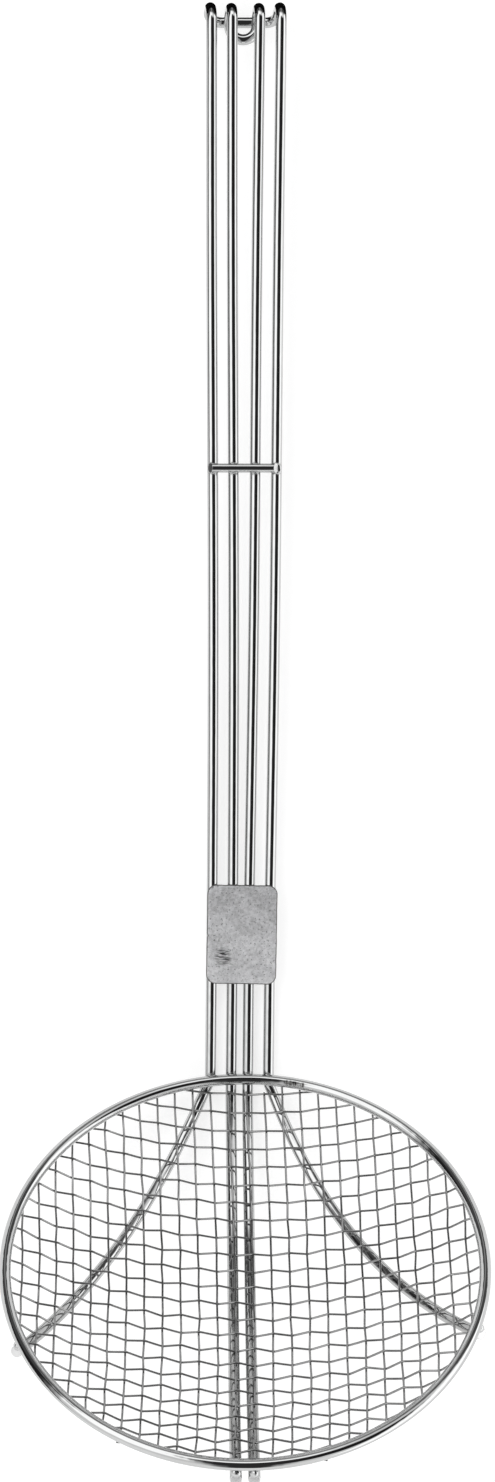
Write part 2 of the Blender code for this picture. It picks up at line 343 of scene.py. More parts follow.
def filled_in(points: np.ndarray, spacing: float) -> np.ndarray:
    """A path with stations added on its long runs, each by linear interpolation.

    Args:
        points: The path's stations.
        spacing: About how far apart the stations may lie.

    Returns:
        The old stations and the new ones, in order.
    """
    runs = np.linalg.norm(np.diff(points, axis=0), axis=1)
    travelled = np.concatenate(([0.0], np.cumsum(runs)))
    extra = np.arange(spacing, travelled[-1], spacing)
    clear = np.abs(extra[:, None] - travelled[None, :]).min(axis=1) > spacing / 3
    stations = np.sort(np.concatenate((travelled, extra[clear])))
    return np.stack([np.interp(stations, travelled, points[:, axis]) for axis in range(3)], axis=1)


def run_directions(points: np.ndarray) -> np.ndarray:
    """The direction of an open path at each station: the mean of its two neighbouring runs."""
    runs = unit(np.diff(points, axis=0))
    return unit(np.concatenate((runs[:1], runs[:-1] + runs[1:], runs[-1:])))


def carried_sides(directions: np.ndarray) -> np.ndarray:
    """A sideways direction carried along a path with no twist, each one squared to the path.

    Args:
        directions: The path's unit direction at each station.

    Returns:
        A unit vector square to the path at each station.
    """
    helper = np.eye(3)[np.argmin(np.abs(directions[0]))]
    side = unit(np.cross(directions[0], helper))
    sides = np.empty_like(directions)
    for station, direction in enumerate(directions):
        side = unit(side - direction * (side @ direction))
        sides[station] = side
    return sides


@dataclass
class Surface:
    """A mesh as whole arrays: points, faces, and where each face corner lies on the UV map."""

    points: np.ndarray
    faces: list[np.ndarray]
    corners: list[np.ndarray]

    def joined(self, other: "Surface") -> "Surface":
        """This surface and another as one.

        Args:
            other: The surface that is added after this one.

        Returns:
            A surface of both, with the other's faces renumbered.
        """
        shifted = [faces + len(self.points) for faces in other.faces]
        points = np.concatenate((self.points, other.points))
        return Surface(points, self.faces + shifted, self.corners + other.corners)

    def mapped(self, plan: np.ndarray) -> "Surface":
        """This surface with its UV map taken from a flat place given for each point."""
        return Surface(self.points, self.faces, [plan[faces.ravel()] for faces in self.faces])


def grid_surface(grid: np.ndarray, u: np.ndarray, v: np.ndarray, loop: bool = False) -> Surface:
    """Quads over a grid of rings whose columns close on themselves.

    Args:
        grid: Points by ring, then by turn round the ring, then by axis.
        u: The UV map's first value at each column, with one more for the closing one.
        v: The UV map's second value at each ring, with one more where the rings loop.
        loop: Whether the last ring joins the first.

    Returns:
        The grid as a surface that faces out where rings advance along their own axis.
    """
    rings, turns = grid.shape[:2]
    ring = np.arange(rings if loop else rings - 1)[:, None]
    turn = np.arange(turns)[None, :]
    ahead, beside = (ring + 1) % rings, (turn + 1) % turns
    quads = [ring * turns + turn, ring * turns + beside, ahead * turns + beside, ahead * turns + turn]
    quads = np.stack(quads, axis=-1).reshape(-1, 4)
    low_u, high_u = np.broadcast_arrays(u[None, :-1], u[None, 1:])
    low_v, high_v = v[: len(ring), None], v[1 : len(ring) + 1, None]
    shape = (len(ring), turns)
    pairs = [(low_u, low_v), (high_u, low_v), (high_u, high_v), (low_u, high_v)]
    corners = [np.stack((np.broadcast_to(a, shape), np.broadcast_to(b, shape)), axis=-1) for a, b in pairs]
    return Surface(grid.reshape(-1, 3), [quads], [np.stack(corners, axis=2).reshape(-1, 2)])


def capped(surface: Surface, turns: int, pole: np.ndarray, first_ring: bool) -> Surface:
    """The surface with a fan of triangles from its first or last ring to a pole.

    Args:
        surface: A surface whose points are rings of this many turns.
        turns: Points in a ring.
        pole: The point in the middle of the fan.
        first_ring: Whether the fan closes the first ring, and otherwise the last.

    Returns:
        The closed surface, its fan's corners all at one place on the UV map.
    """
    index = len(surface.points)
    start = 0 if first_ring else index - index % turns - turns
    turn = np.arange(turns)
    ring, beside = start + turn, start + (turn + 1) % turns
    outer = (beside, ring) if first_ring else (ring, beside)
    fan = np.stack((np.full(turns, index), *outer), axis=-1)
    spot = surface.corners[0][0 if first_ring else -1]
    corners = np.broadcast_to(spot, (3 * turns, 2))
    points = np.concatenate((surface.points, pole[None, :]))
    return Surface(points, surface.faces + [fan], surface.corners + [corners])


@dataclass(frozen=True)
class RoundWire:
    """A round wire swept along a path, with sheared ends whose edges are a little rounded.

    Attributes:
        radius: The wire's radius.
        turns: Points round it.
        end_round: The radius of the rounded edge at a sheared end.
        end_steps: How many steps that edge is cut into.
    """

    radius: float
    turns: int = 28
    end_round: float = 0.00035
    end_steps: int = 4

    def cut_faces(self, surface: Surface) -> list[np.ndarray]:
        """The faces of the two sheared ends: the rounded edge's quads and the fan inside them.

        Args:
            surface: A wire that this one has swept.

        Returns:
            The numbers of the faces at the first end, then at the last.
        """
        quads, rounded = len(surface.faces[0]), self.end_steps * self.turns
        first = np.concatenate((np.arange(rounded), quads + np.arange(self.turns)))
        last = np.concatenate((quads - 1 - np.arange(rounded), quads + self.turns + np.arange(self.turns)))
        return [first, last]

    def swept(self, path: np.ndarray, sides: np.ndarray | None = None) -> Surface:
        """The wire as rings: each path point plus the radius by cosine and sine round it.

        Args:
            path: The centre line's stations.
            sides: A direction square to the path at each station, carried along if left out.

        Returns:
            The closed surface, with the UV map's V as metres along and U as metres round.
        """
        directions = run_directions(path)
        sides = carried_sides(directions) if sides is None else sides
        ups = np.cross(directions, sides)
        bevel = np.linspace(0, pi / 2, self.end_steps + 1)
        inset = self.end_round * (1 - np.cos(bevel))[:, None]
        narrowed = self.radius - self.end_round * (1 - np.sin(bevel))
        centres = np.concatenate(
            (path[0] + directions[0] * inset, path[1:-1], (path[-1] - directions[-1] * inset)[::-1])
        )
        count = self.end_steps
        repeat = np.concatenate(([0] * count, np.arange(len(path)), [len(path) - 1] * count))
        radii = np.concatenate((narrowed, np.full(len(path) - 2, self.radius), narrowed[::-1]))
        angle = np.linspace(0, 2 * pi, self.turns, endpoint=False)[:, None]
        spokes = sides[repeat][:, None] * np.cos(angle) + ups[repeat][:, None] * np.sin(angle)
        grid = centres[:, None] + spokes * radii[:, None, None]
        runs = np.linalg.norm(np.diff(centres, axis=0), axis=1)
        v = np.concatenate(([0.0], np.cumsum(runs)))
        u = np.linspace(0, 2 * pi * self.radius, self.turns + 1)
        surface = capped(grid_surface(grid, u, v), self.turns, path[0], first_ring=True)
        return capped(surface, self.turns, path[-1], first_ring=False)


def hex_colour(code: str) -> tuple[float, float, float, float]:
    """A linear colour from an sRGB hex code, by the sRGB curve.

    Args:
        code: Six hex digits after a hash sign.

    Returns:
        Red, green, blue and an alpha of one.
    """
    parts = [int(code[at : at + 2], 16) / 255 for at in (1, 3, 5)]
    linear = [part / 12.92 if part <= 0.04045 else ((part + 0.055) / 1.055) ** 2.4 for part in parts]
    return (linear[0], linear[1], linear[2], 1.0)


def add_node(tree: Any, kind: str, *values: Any, out: int | str = 0, **named: Any) -> Any:
    """Adds a shader node with its settings and links.

    Args:
        tree: The node tree.
        kind: The node's type without its ShaderNode prefix.
        values: What goes into its first inputs, in order: sockets, values or hex colours.
        out: Which of its outputs is given back, by number or name.
        named: Its settings, and what goes into other inputs by name, with underscores for
            spaces, or by number as in_N.

    Returns:
        The output's socket, or the node itself if it has no output.
    """
    node = tree.nodes.new("ShaderNode" + kind)
    inputs = dict(enumerate(values))
    for name, value in named.items():
        if name in node.bl_rna.properties:
            setattr(node, name, value)
        else:
            inputs[int(name[3:]) if name.startswith("in_") else name.replace("_", " ")] = value
    for key, value in inputs.items():
        if isinstance(value, bpy.types.NodeSocket):
            tree.links.new(value, node.inputs[key])
        else:
            node.inputs[key].default_value = hex_colour(value) if isinstance(value, str) else value
    return node.outputs[out] if len(node.outputs) else node


def add_object(name: str, surface: Surface, material: Any) -> Any:
    """Makes a mesh object from a surface, smooth, with its UV map and its material.

    Args:
        name: The object's name.
        surface: Its points, faces and corners.
        material: Its only material.

    Returns:
        The object, in the scene's collection and at the origin.
    """
    mesh = bpy.data.meshes.new(name)
    faces = [face for block in surface.faces for face in block.tolist()]
    mesh.from_pydata(surface.points.tolist(), [], faces)
    layer = mesh.uv_layers.new(name=UV_MAP)
    layer.data.foreach_set("uv", np.concatenate(surface.corners).astype(np.float32).ravel())
    mesh.shade_smooth()
    mesh.materials.append(material)
    obj = bpy.data.objects.new(name, mesh)
    bpy.context.scene.collection.objects.link(obj)
    return obj


def empty_material(name: str) -> tuple[Any, Callable[..., Any]]:
    """A new material with no nodes yet.

    Args:
        name: The material's name.

    Returns:
        The material, and add_node for its own node tree.
    """
    material = bpy.data.materials.new(name)
    material.use_nodes = True
    material.node_tree.nodes.clear()
    return material, partial(add_node, material.node_tree)


def nearness(node: Callable[..., Any], place: Any, spots: np.ndarray, reach: float) -> Any:
    """How near a place is to any of some points: 1 at a point, 0 from the reach outwards.

    Args:
        node: Adds a node to the material.
        place: The socket of the place read.
        spots: The points.
        reach: How far each one's mark goes.

    Returns:
        The smooth step of the distance to the nearest point.
    """
    nearest = reach
    for spot in spots.tolist():
        away = node("VectorMath", place, tuple(spot), operation="DISTANCE", out="Value")
        nearest = node("Math", away, nearest, operation="MINIMUM")
    return node("MapRange", nearest, reach, 0.0, **SMOOTH)


@dataclass(frozen=True)
class PlatedWire:
    """Bright chromium plate on drawn mild steel wire.

    The plate gives a mirror that shows the studio as stripes along the wire. The drawing
    leaves faint lines along it and a slight waviness that lets the stripes wander. The heat
    of a weld leaves a dark speckled patch, and the ribs are darker and rougher towards the
    free edge, in streaks that follow the draw lines.

    Attributes:
        name: The material's name.
        bright: Its colour where the plate is full.
        dull: Its colour where it is thin.
        scorched: Its colour at a weld and at a grip mark.
        hazed: Its colour where the haze is full.
        roughness: Its least roughness.
        roughness_spread: How much rougher it is between the draw lines.
        blotch_mm: How wide its brighter and duller blotches are.
        wave_height_mm: How high the wire's waviness is.
        wave_length_mm: How long it is.
        line_height_mm: How deep the draw lines are.
        line_width_mm: How wide they are, drawn coarser than real ones so that they show.
        line_length_mm: How long they are.
        weld_reach: How far a weld's speckles go.
        weld_speckle_mm: How wide the speckles are.
        weld_pit_mm: How deep they are.
        weld_roughness: How rough the plate is at a weld.
        haze: How much of the hazed tone the ribs take on at the free edge.
        haze_start: Where along the skimmer the haze starts.
        haze_end: Where it is full.
        hazed_roughness: How much rougher the haze is.
        grip_marks_reach: How far a grip mark goes.
        tooth_width_mm: How wide the mark of one tooth is, along the wire.
        tooth_length_mm: How long it is, round the wire.
        tooth_depth_mm: How deep it is.
    """

    name: str
    bright: str = "#C8C9C9"
    dull: str = "#BABABA"
    scorched: str = "#3A3836"
    hazed: str = "#747472"
    roughness: float = 0.03
    roughness_spread: float = 0.04
    blotch_mm: float = 9.0
    wave_height_mm: float = 0.08
    wave_length_mm: float = 5.0
    line_height_mm: float = 0.001
    line_width_mm: float = 0.35
    line_length_mm: float = 30.0
    weld_reach: float = 0.0042
    weld_speckle_mm: float = 0.9
    weld_pit_mm: float = 0.04
    weld_roughness: float = 0.35
    haze: float = 0.0
    haze_start: float = -0.190
    haze_end: float = -0.250
    hazed_roughness: float = 0.4
    grip_marks_reach: float = 0.0015
    tooth_width_mm: float = 0.45
    tooth_length_mm: float = 6.0
    tooth_depth_mm: float = 0.01

    def material(self, welds: np.ndarray, grip_marks: np.ndarray | None = None) -> Any:
        """The finish as a material that reads the wire's own UV map.

        Args:
            welds: Where on the object the welds lie.
            grip_marks: Where the jaws of a butt welder held the wire, if they did.

        Returns:
            The material.
        """
        material, node = empty_material(self.name)
        along = node("UVMap", uv_map=UV_MAP)
        place = node("TexCoord", out="Object")
        blotches = node("TexNoise", Vector=place, Scale=1 / (self.blotch_mm * MILLIMETRE), Detail=3.0)
        tone = node("Mix", blotches, in_6=self.dull, in_7=self.bright, **COLOURS)
        fineness = (1 / (self.line_width_mm * MILLIMETRE), 1 / (self.line_length_mm * MILLIMETRE), 1.0)
        lines = node("TexNoise", Vector=node("Mapping", along, Scale=fineness), Scale=1.0, Detail=2.0)
        roughest = self.roughness + self.roughness_spread
        rough = node("MapRange", lines, 0.0, 1.0, self.roughness, roughest, **SMOOTH)
        waves = node("TexNoise", Vector=place, Scale=1 / (self.wave_length_mm * MILLIMETRE), Detail=1.0)
        normal = node("Bump", Height=waves, Strength=1.0, Distance=self.wave_height_mm * MILLIMETRE)
        depth = self.line_height_mm * MILLIMETRE
        normal = node("Bump", Height=lines, Normal=normal, Strength=1.0, Distance=depth)
        if self.haze > 0:
            # Darker and rougher towards the free edge, in streaks along the draw lines.
            height = node("SeparateXYZ", place, out="Y")
            hazy = node("MapRange", height, self.haze_start, self.haze_end, 0.0, self.haze, **SMOOTH)
            streaks = node("MapRange", lines, 0.3, 0.62, **SMOOTH)
            streaked = node("Math", hazy, streaks, operation="MULTIPLY")
            tone = node("Mix", streaked, in_6=tone, in_7=self.hazed, **COLOURS)
            rough = node("Math", streaked, self.hazed_roughness, self.roughness, operation="MULTIPLY_ADD")
        if len(welds):
            near = nearness(node, place, welds, self.weld_reach)
            fineness = 1 / (self.weld_speckle_mm * MILLIMETRE)
            grains = node("TexNoise", Vector=place, Scale=fineness, Detail=4.0, Roughness=0.7)
            speckle = node("MapRange", grains, 0.44, 0.56, **SMOOTH)
            close = node("MapRange", near, 0.15, 0.75, **SMOOTH)
            burnt = node("Math", close, speckle, operation="MULTIPLY")
            tone = node("Mix", burnt, in_6=tone, in_7=self.scorched, **COLOURS)
            matt = node("Math", near, self.weld_roughness, operation="MULTIPLY")
            rough = node("Math", rough, matt, operation="MAXIMUM")
            depth = -self.weld_pit_mm * MILLIMETRE
            normal = node("Bump", Height=burnt, Normal=normal, Strength=1.0, Distance=depth)
        if grip_marks is not None:
            near = nearness(node, place, grip_marks, self.grip_marks_reach)
            near = node("MapRange", near, 0.0, 0.6, **SMOOTH)
            fineness = (1 / (self.tooth_length_mm * MILLIMETRE), 1 / (self.tooth_width_mm * MILLIMETRE), 1.0)
            teeth = node("TexNoise", Vector=node("Mapping", along, Scale=fineness), Scale=1.0, Detail=1.0)
            teeth = node("MapRange", teeth, 0.40, 0.60, 0.35, 0.9, **SMOOTH)
            teeth = node("Math", teeth, near, operation="MULTIPLY")
            tone = node("Mix", teeth, in_6=tone, in_7=self.scorched, **COLOURS)
            # The jaws' teeth bite into the plate, so the bump goes inwards.
            depth = -self.tooth_depth_mm * MILLIMETRE
            normal = node("Bump", Height=teeth, Normal=normal, Strength=1.0, Distance=depth)
        shader = node("BsdfPrincipled", Base_Color=tone, Roughness=rough, Normal=normal, Metallic=1.0)
        node("OutputMaterial", shader)
        return material


@dataclass(frozen=True)
class CutSteel:
    """Steel where a shear or a blanking tool has torn through it, with little plate on it.

    The torn grain scatters light, so a cut shows one matt tone where the wire shows a mirror.

    Attributes:
        name: The material's name.
        colour: The cut's tone.
        roughness: Its roughness.
        metallic: How much of it is bare metal.
        grain_mm: How wide the torn grain is, drawn coarser than real grain so that it shows.
        tear_mm: How deep it is.
    """

    name: str
    colour: str
    roughness: float = 0.45
    metallic: float = 0.8
    grain_mm: float = 0.5
    tear_mm: float = 0.05

    def material(self) -> Any:
        """The cut's finish: one tone with a fine torn grain.

        Returns:
            The material.
        """
        material, node = empty_material(self.name)
        place = node("TexCoord", out="Object")
        grain = node("TexNoise", Vector=place, Scale=1 / (self.grain_mm * MILLIMETRE), Detail=3.0)
        torn = node("Bump", Height=grain, Strength=1.0, Distance=self.tear_mm * MILLIMETRE)
        shader = node(
            "BsdfPrincipled", Base_Color=self.colour, Roughness=self.roughness,
            Metallic=self.metallic, Normal=torn,
        )
        node("OutputMaterial", shader)
        return material

    def cover(self, piece: Any, faces: np.ndarray) -> None:
        """Gives some faces of a piece the cut's finish in place of its own.

        Args:
            piece: The piece's object.
            faces: The numbers of the faces.
        """
        finishes = np.zeros(len(piece.data.polygons), dtype=np.int32)
        piece.data.polygons.foreach_get("material_index", finishes)
        finishes[faces] = len(piece.data.materials)
        piece.data.materials.append(self.material())
        piece.data.polygons.foreach_set("material_index", finishes)


@dataclass(frozen=True)
class WornSheetSteel:
    """Cold-rolled steel sheet, blanked and tumbled, with a dull thin plate.

    The rolled skin gives a matt grey with cloudy blotches a millimetre or two across.
    Handling gives it fine scratches, a few pits and one scuffed patch near its lower left
    corner. The patterns read the plate's own UV map, in metres from its middle.

    Attributes:
        name: The material's name.
        light: The colour of its lighter clouds.
        dark: The colour of its darker clouds.
        pit: The colour in a pit or a deep scratch.
        metallic: How much of it is bare metal and not matt oxide.
        roughness: Its roughness.
        cloud_mm: How wide its small clouds are.
        drift_mm: How wide its large clouds are.
        fade_height: How far below its middle the fade upwards starts, and how far above it ends.
        pit_mm: How wide a pit is.
        scratch_turn: How far the stretched noise is turned, which picks another part of it.
        scratch_length_mm: How long a scratch is, across the plate.
        scratch_width_mm: How wide it is.
        scuff_place: Where the scuffed patch is, across and up from the middle.
        scuff_reach: How far it goes.
        grain_mm: How wide the rolled grain is, drawn coarser than real grain so that it shows.
        grain_depth_mm: How deep it is.
        mark_depth_mm: How deep the pits, scratches and scuffs are.
    """

    name: str = "worn_sheet_steel"
    light: str = "#F0F0F2"
    dark: str = "#A4A4A6"
    pit: str = "#3C3C3C"
    metallic: float = 0.4
    roughness: float = 0.5
    cloud_mm: float = 1.6
    drift_mm: float = 8.0
    fade_height: float = 0.018
    pit_mm: float = 0.9
    scratch_turn: float = radians(28.0)
    scratch_length_mm: float = 3.2
    scratch_width_mm: float = 0.32
    scuff_place: tuple[float, float] = (-0.0070, -0.0084)
    scuff_reach: float = 0.0052
    grain_mm: float = 0.5
    grain_depth_mm: float = 0.02
    mark_depth_mm: float = 0.05

    def shade(self, node: Callable[..., Any], place: Any) -> Any:
        """The tone before it is marked: small clouds, large drifts and a fade upwards.

        Args:
            node: Adds a node to the material.
            place: The socket of the place on the plate.

        Returns:
            The colour's socket.
        """
        fineness = 1 / (self.cloud_mm * MILLIMETRE)
        clouds = node("TexNoise", Vector=place, Scale=fineness, Detail=4.0, Roughness=0.75)
        clouds = node("MapRange", clouds, 0.36, 0.64, **SMOOTH)
        drifts = node("TexNoise", Vector=place, Scale=1 / (self.drift_mm * MILLIMETRE), Detail=2.0)
        drifts = node("MapRange", drifts, 0.38, 0.62, **SMOOTH)
        height = node("SeparateXYZ", place, out="Y")
        up = node("MapRange", height, -self.fade_height, self.fade_height, **SMOOTH)
        share = node("Math", clouds, 0.42, 0.38, operation="MULTIPLY_ADD")
        share = node("Math", drifts, 0.22, share, operation="MULTIPLY_ADD")
        share = node("Math", up, -0.3, share, operation="MULTIPLY_ADD")
        return node("Mix", share, in_6=self.dark, in_7=self.light, **COLOURS)

    def marks(self, node: Callable[..., Any], place: Any) -> Any:
        """How deep a pit, a scratch or the scuffed patch is: the greatest of the three.

        Args:
            node: Adds a node to the material.
            place: The socket of the place on the plate.

        Returns:
            The socket of the depth, from 0 to 1.
        """
        pits = node("TexNoise", Vector=place, Scale=1 / (self.pit_mm * MILLIMETRE), Detail=1.0)
        pits = node("MapRange", pits, 0.63, 0.70, 0.0, 0.6, **SMOOTH)
        length, width = self.scratch_length_mm * MILLIMETRE, self.scratch_width_mm * MILLIMETRE
        fineness, turned = (1 / length, 1 / width, 1.0), (0.0, 0.0, self.scratch_turn)
        long_way = node("Mapping", place, Rotation=turned, Scale=fineness)
        lines = node("TexNoise", Vector=long_way, Scale=1.0, Detail=1.0)
        scratches = node("MapRange", lines, 0.66, 0.76, 0.0, 0.35, **SMOOTH)
        near = nearness(node, place, np.array([[*self.scuff_place, 0.0]]), self.scuff_reach)
        near = node("MapRange", near, 0.1, 0.7, **SMOOTH)
        scuffs = node("MapRange", lines, 0.44, 0.56, **SMOOTH)
        scuffs = node("Math", near, scuffs, operation="MULTIPLY")
        deepest = node("Math", pits, scratches, operation="MAXIMUM")
        return node("Math", deepest, scuffs, operation="MAXIMUM")

    def material(self) -> Any:
        """The finish as a material on the plate's own UV map.

        Returns:
            The material.
        """
        material, node = empty_material(self.name)
        place = node("UVMap", uv_map=UV_MAP)
        marks = self.marks(node, place)
        tone = node("Mix", marks, in_6=self.shade(node, place), in_7=self.pit, **COLOURS)
        grain = node("TexNoise", Vector=place, Scale=1 / (self.grain_mm * MILLIMETRE), Detail=3.0)
        normal = node("Bump", Height=grain, Strength=1.0, Distance=self.grain_depth_mm * MILLIMETRE)
        depth = -self.mark_depth_mm * MILLIMETRE
        normal = node("Bump", Height=marks, Normal=normal, Strength=1.0, Distance=depth)
        shader = node(
            "BsdfPrincipled", Base_Color=tone, Roughness=self.roughness,
            Metallic=self.metallic, Normal=normal,
        )
        node("OutputMaterial", shader)
        return material


def fit_piece(piece: Any, node: str) -> None:
    """Lets a piece ride on the skimmer and stand for its part, which it hides.

    Args:
        piece: The piece's object.
        node: The part's name.
    """
    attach(piece, BODY)
    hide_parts(node)


@dataclass(frozen=True)
class Weld:
    """One weld between two wires, or a wire and the plate, that lie a little apart.

    Attributes:
        first: The point on the one's surface.
        second: The point on the other's.
        reach: How far the weld spreads over them.
    """

    first: np.ndarray
    second: np.ndarray
    reach: float

    @property
    def middle(self) -> np.ndarray:
        """Halfway between the two surfaces."""
        return (self.first + self.second) / 2

    @staticmethod
    def of_lines(one: np.ndarray, other: np.ndarray, radii: tuple[float, float], reach: float) -> "Weld":
        """The weld where two wires come closest.

        Args:
            one: Stations on the first wire's centre line.
            other: Stations on the second's.
            radii: The two wires' radii.
            reach: How far the weld spreads over the wires.

        Returns:
            The weld between the nearest points of the two surfaces.
        """
        gaps = np.linalg.norm(one[:, None] - other[None, :], axis=2)
        row, column = np.unravel_index(int(np.argmin(gaps)), gaps.shape)
        towards = unit(other[column] - one[row])
        return Weld(one[row] + towards * radii[0], other[column] - towards * radii[1], reach)

    @staticmethod
    def over_rods(layout: Layout, places: tuple[float, ...], reach: float) -> list["Weld"]:
        """The welds between the fronts of the four rods and what is seated across them.

        Args:
            layout: Where the rods lie.
            places: How far along the handle the welds are.
            reach: How far each spreads.

        Returns:
            The welds, rod by rod from the left.
        """
        up = layout.handle.turn[:, 2]
        low = layout.sizes.rod_radius
        high = low + layout.sizes.seat_gap
        lines = [layout.rod_point(side, row, place) for side, row in RODS for place in places]
        return [Weld(line + up * low, line + up * high, reach) for line in lines]


@dataclass
class WeldBeads:
    """The squeezed-out metal at the resistance welds, a small pillow between each two wires.

    Attributes:
        name: The object's name.
        slot: The name of a slot; not used.
        welds: The welds.
        finish: Their finish.
        rings: Steps from one pole of a pillow to the other.
        turns: Points round it.
        sink: How far a pole sinks into its wire.
        unevenness: How much its radius varies, as a share.
    """

    name: str
    slot: str
    welds: list[Weld]
    finish: PlatedWire
    rings: int = 12
    turns: int = 20
    sink: float = 0.00055
    unevenness: float = 0.07

    def build(self) -> list[Any]:
        """One mesh of pillows: each a sphere, drawn out by its weld's reach and its gap.

        Each pillow's radius swells and shrinks by two sine waves round it, as poured metal does.

        Returns:
            The beads' object, alone in a list.
        """
        surfaces = None
        latitude = np.linspace(0, pi, self.rings + 1)[1:-1, None]
        longitude = np.linspace(0, 2 * pi, self.turns, endpoint=False)[None, :]
        for number, weld in enumerate(self.welds):
            axis = weld.second - weld.first
            half = float(np.linalg.norm(axis)) / 2 + self.sink
            axis = unit(axis)
            side = unit(np.cross(axis, np.eye(3)[np.argmin(np.abs(axis))]))
            frame = np.stack((side, np.cross(axis, side), axis))
            waves = np.sin(3 * longitude + number) + np.sin(2 * longitude + 2.3 * number)
            out = weld.reach * (1 + self.unevenness * waves) * np.sin(latitude)
            level = np.broadcast_to(-half * np.cos(latitude), out.shape)
            grid = np.stack((out * np.cos(longitude), out * np.sin(longitude), level), axis=-1) @ frame
            grid += weld.middle
            u = np.linspace(0, 2 * pi * weld.reach, self.turns + 1)
            v = np.linspace(0, 2 * half, self.rings - 1)
            ball = capped(grid_surface(grid, u, v), self.turns, weld.middle - axis * half, first_ring=True)
            ball = capped(ball, self.turns, weld.middle + axis * half, first_ring=False)
            surfaces = ball if surfaces is None else surfaces.joined(ball)
        spots = np.array([weld.middle for weld in self.welds])
        piece = add_object(self.name, surfaces, self.finish.material(spots))
        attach(piece, BODY)
        return [piece]


@dataclass
class RimHoop:
    """The closed round hoop that carries the cloth, with its upset butt weld.

    Attributes:
        layout: Where the bowl lies.
        finish: The hoop's finish.
        welds: The welds to the ribs and the rods.
        steps: Stations round the hoop.
        turns: Points round its wire.
        butt_weld: Where on the hoop the butt weld is.
        butt_swell: How much thicker the wire is there.
        butt_length: How long the swelling is.
        first_grip_mark: Where on the hoop the first grip mark is.
        grip_mark_step: How far apart the marks are.
        grip_mark_count: How many there are.
    """

    layout: Layout
    finish: PlatedWire
    welds: list[Weld] = field(default_factory=list)
    steps: int = 720
    turns: int = 32
    butt_weld: float = radians(78.0)
    butt_swell: float = 0.00006
    butt_length: float = 0.0012
    first_grip_mark: float = radians(75.5)
    grip_mark_step: float = radians(1.0)
    grip_mark_count: int = 5

    def centre_line(self) -> np.ndarray:
        """The hoop's centre line: a circle by cosine and sine.

        Returns:
            World points round it.
        """
        angle = np.linspace(0, 2 * pi, self.steps, endpoint=False)
        radius = self.layout.sizes.rim_radius
        ring = np.stack((np.cos(angle), np.sin(angle), np.zeros_like(angle)), axis=1)
        return self.layout.bowl.place(ring * radius)

    def build(self) -> list[Any]:
        """The hoop as a torus: a ring carrying a round wire that swells at its butt weld.

        Returns:
            The hoop's object, alone in a list.
        """
        s = self.layout.sizes
        angle = np.linspace(0, 2 * pi, self.steps, endpoint=False)[:, None]
        round_wire = np.linspace(0, 2 * pi, self.turns, endpoint=False)[None, :]
        off = (angle - self.butt_weld) * s.rim_radius / self.butt_length
        radius = s.rod_radius + self.butt_swell * np.exp(-(off**2))
        reach = s.rim_radius + radius * np.cos(round_wire)
        height = -radius * np.sin(round_wire)
        grid = np.stack((reach * np.cos(angle), reach * np.sin(angle), height), axis=-1)
        u = np.linspace(0, 2 * pi * s.rod_radius, self.turns + 1)
        v = np.linspace(0, 2 * pi * s.rim_radius, self.steps + 1)
        surface = grid_surface(self.layout.bowl.place(grid), u, v, loop=True)
        places = self.first_grip_mark + np.arange(self.grip_mark_count) * self.grip_mark_step
        marks = self.centre_line()[np.round(places / (2 * pi) * self.steps).astype(int)]
        marks += np.array([0.0, 0.0, s.rod_radius])
        spots = np.array([weld.middle for weld in self.welds])
        piece = add_object("chromed_rim_hoop", surface, self.finish.material(spots, marks))
        fit_piece(piece, "rim_hoop")
        return [piece]


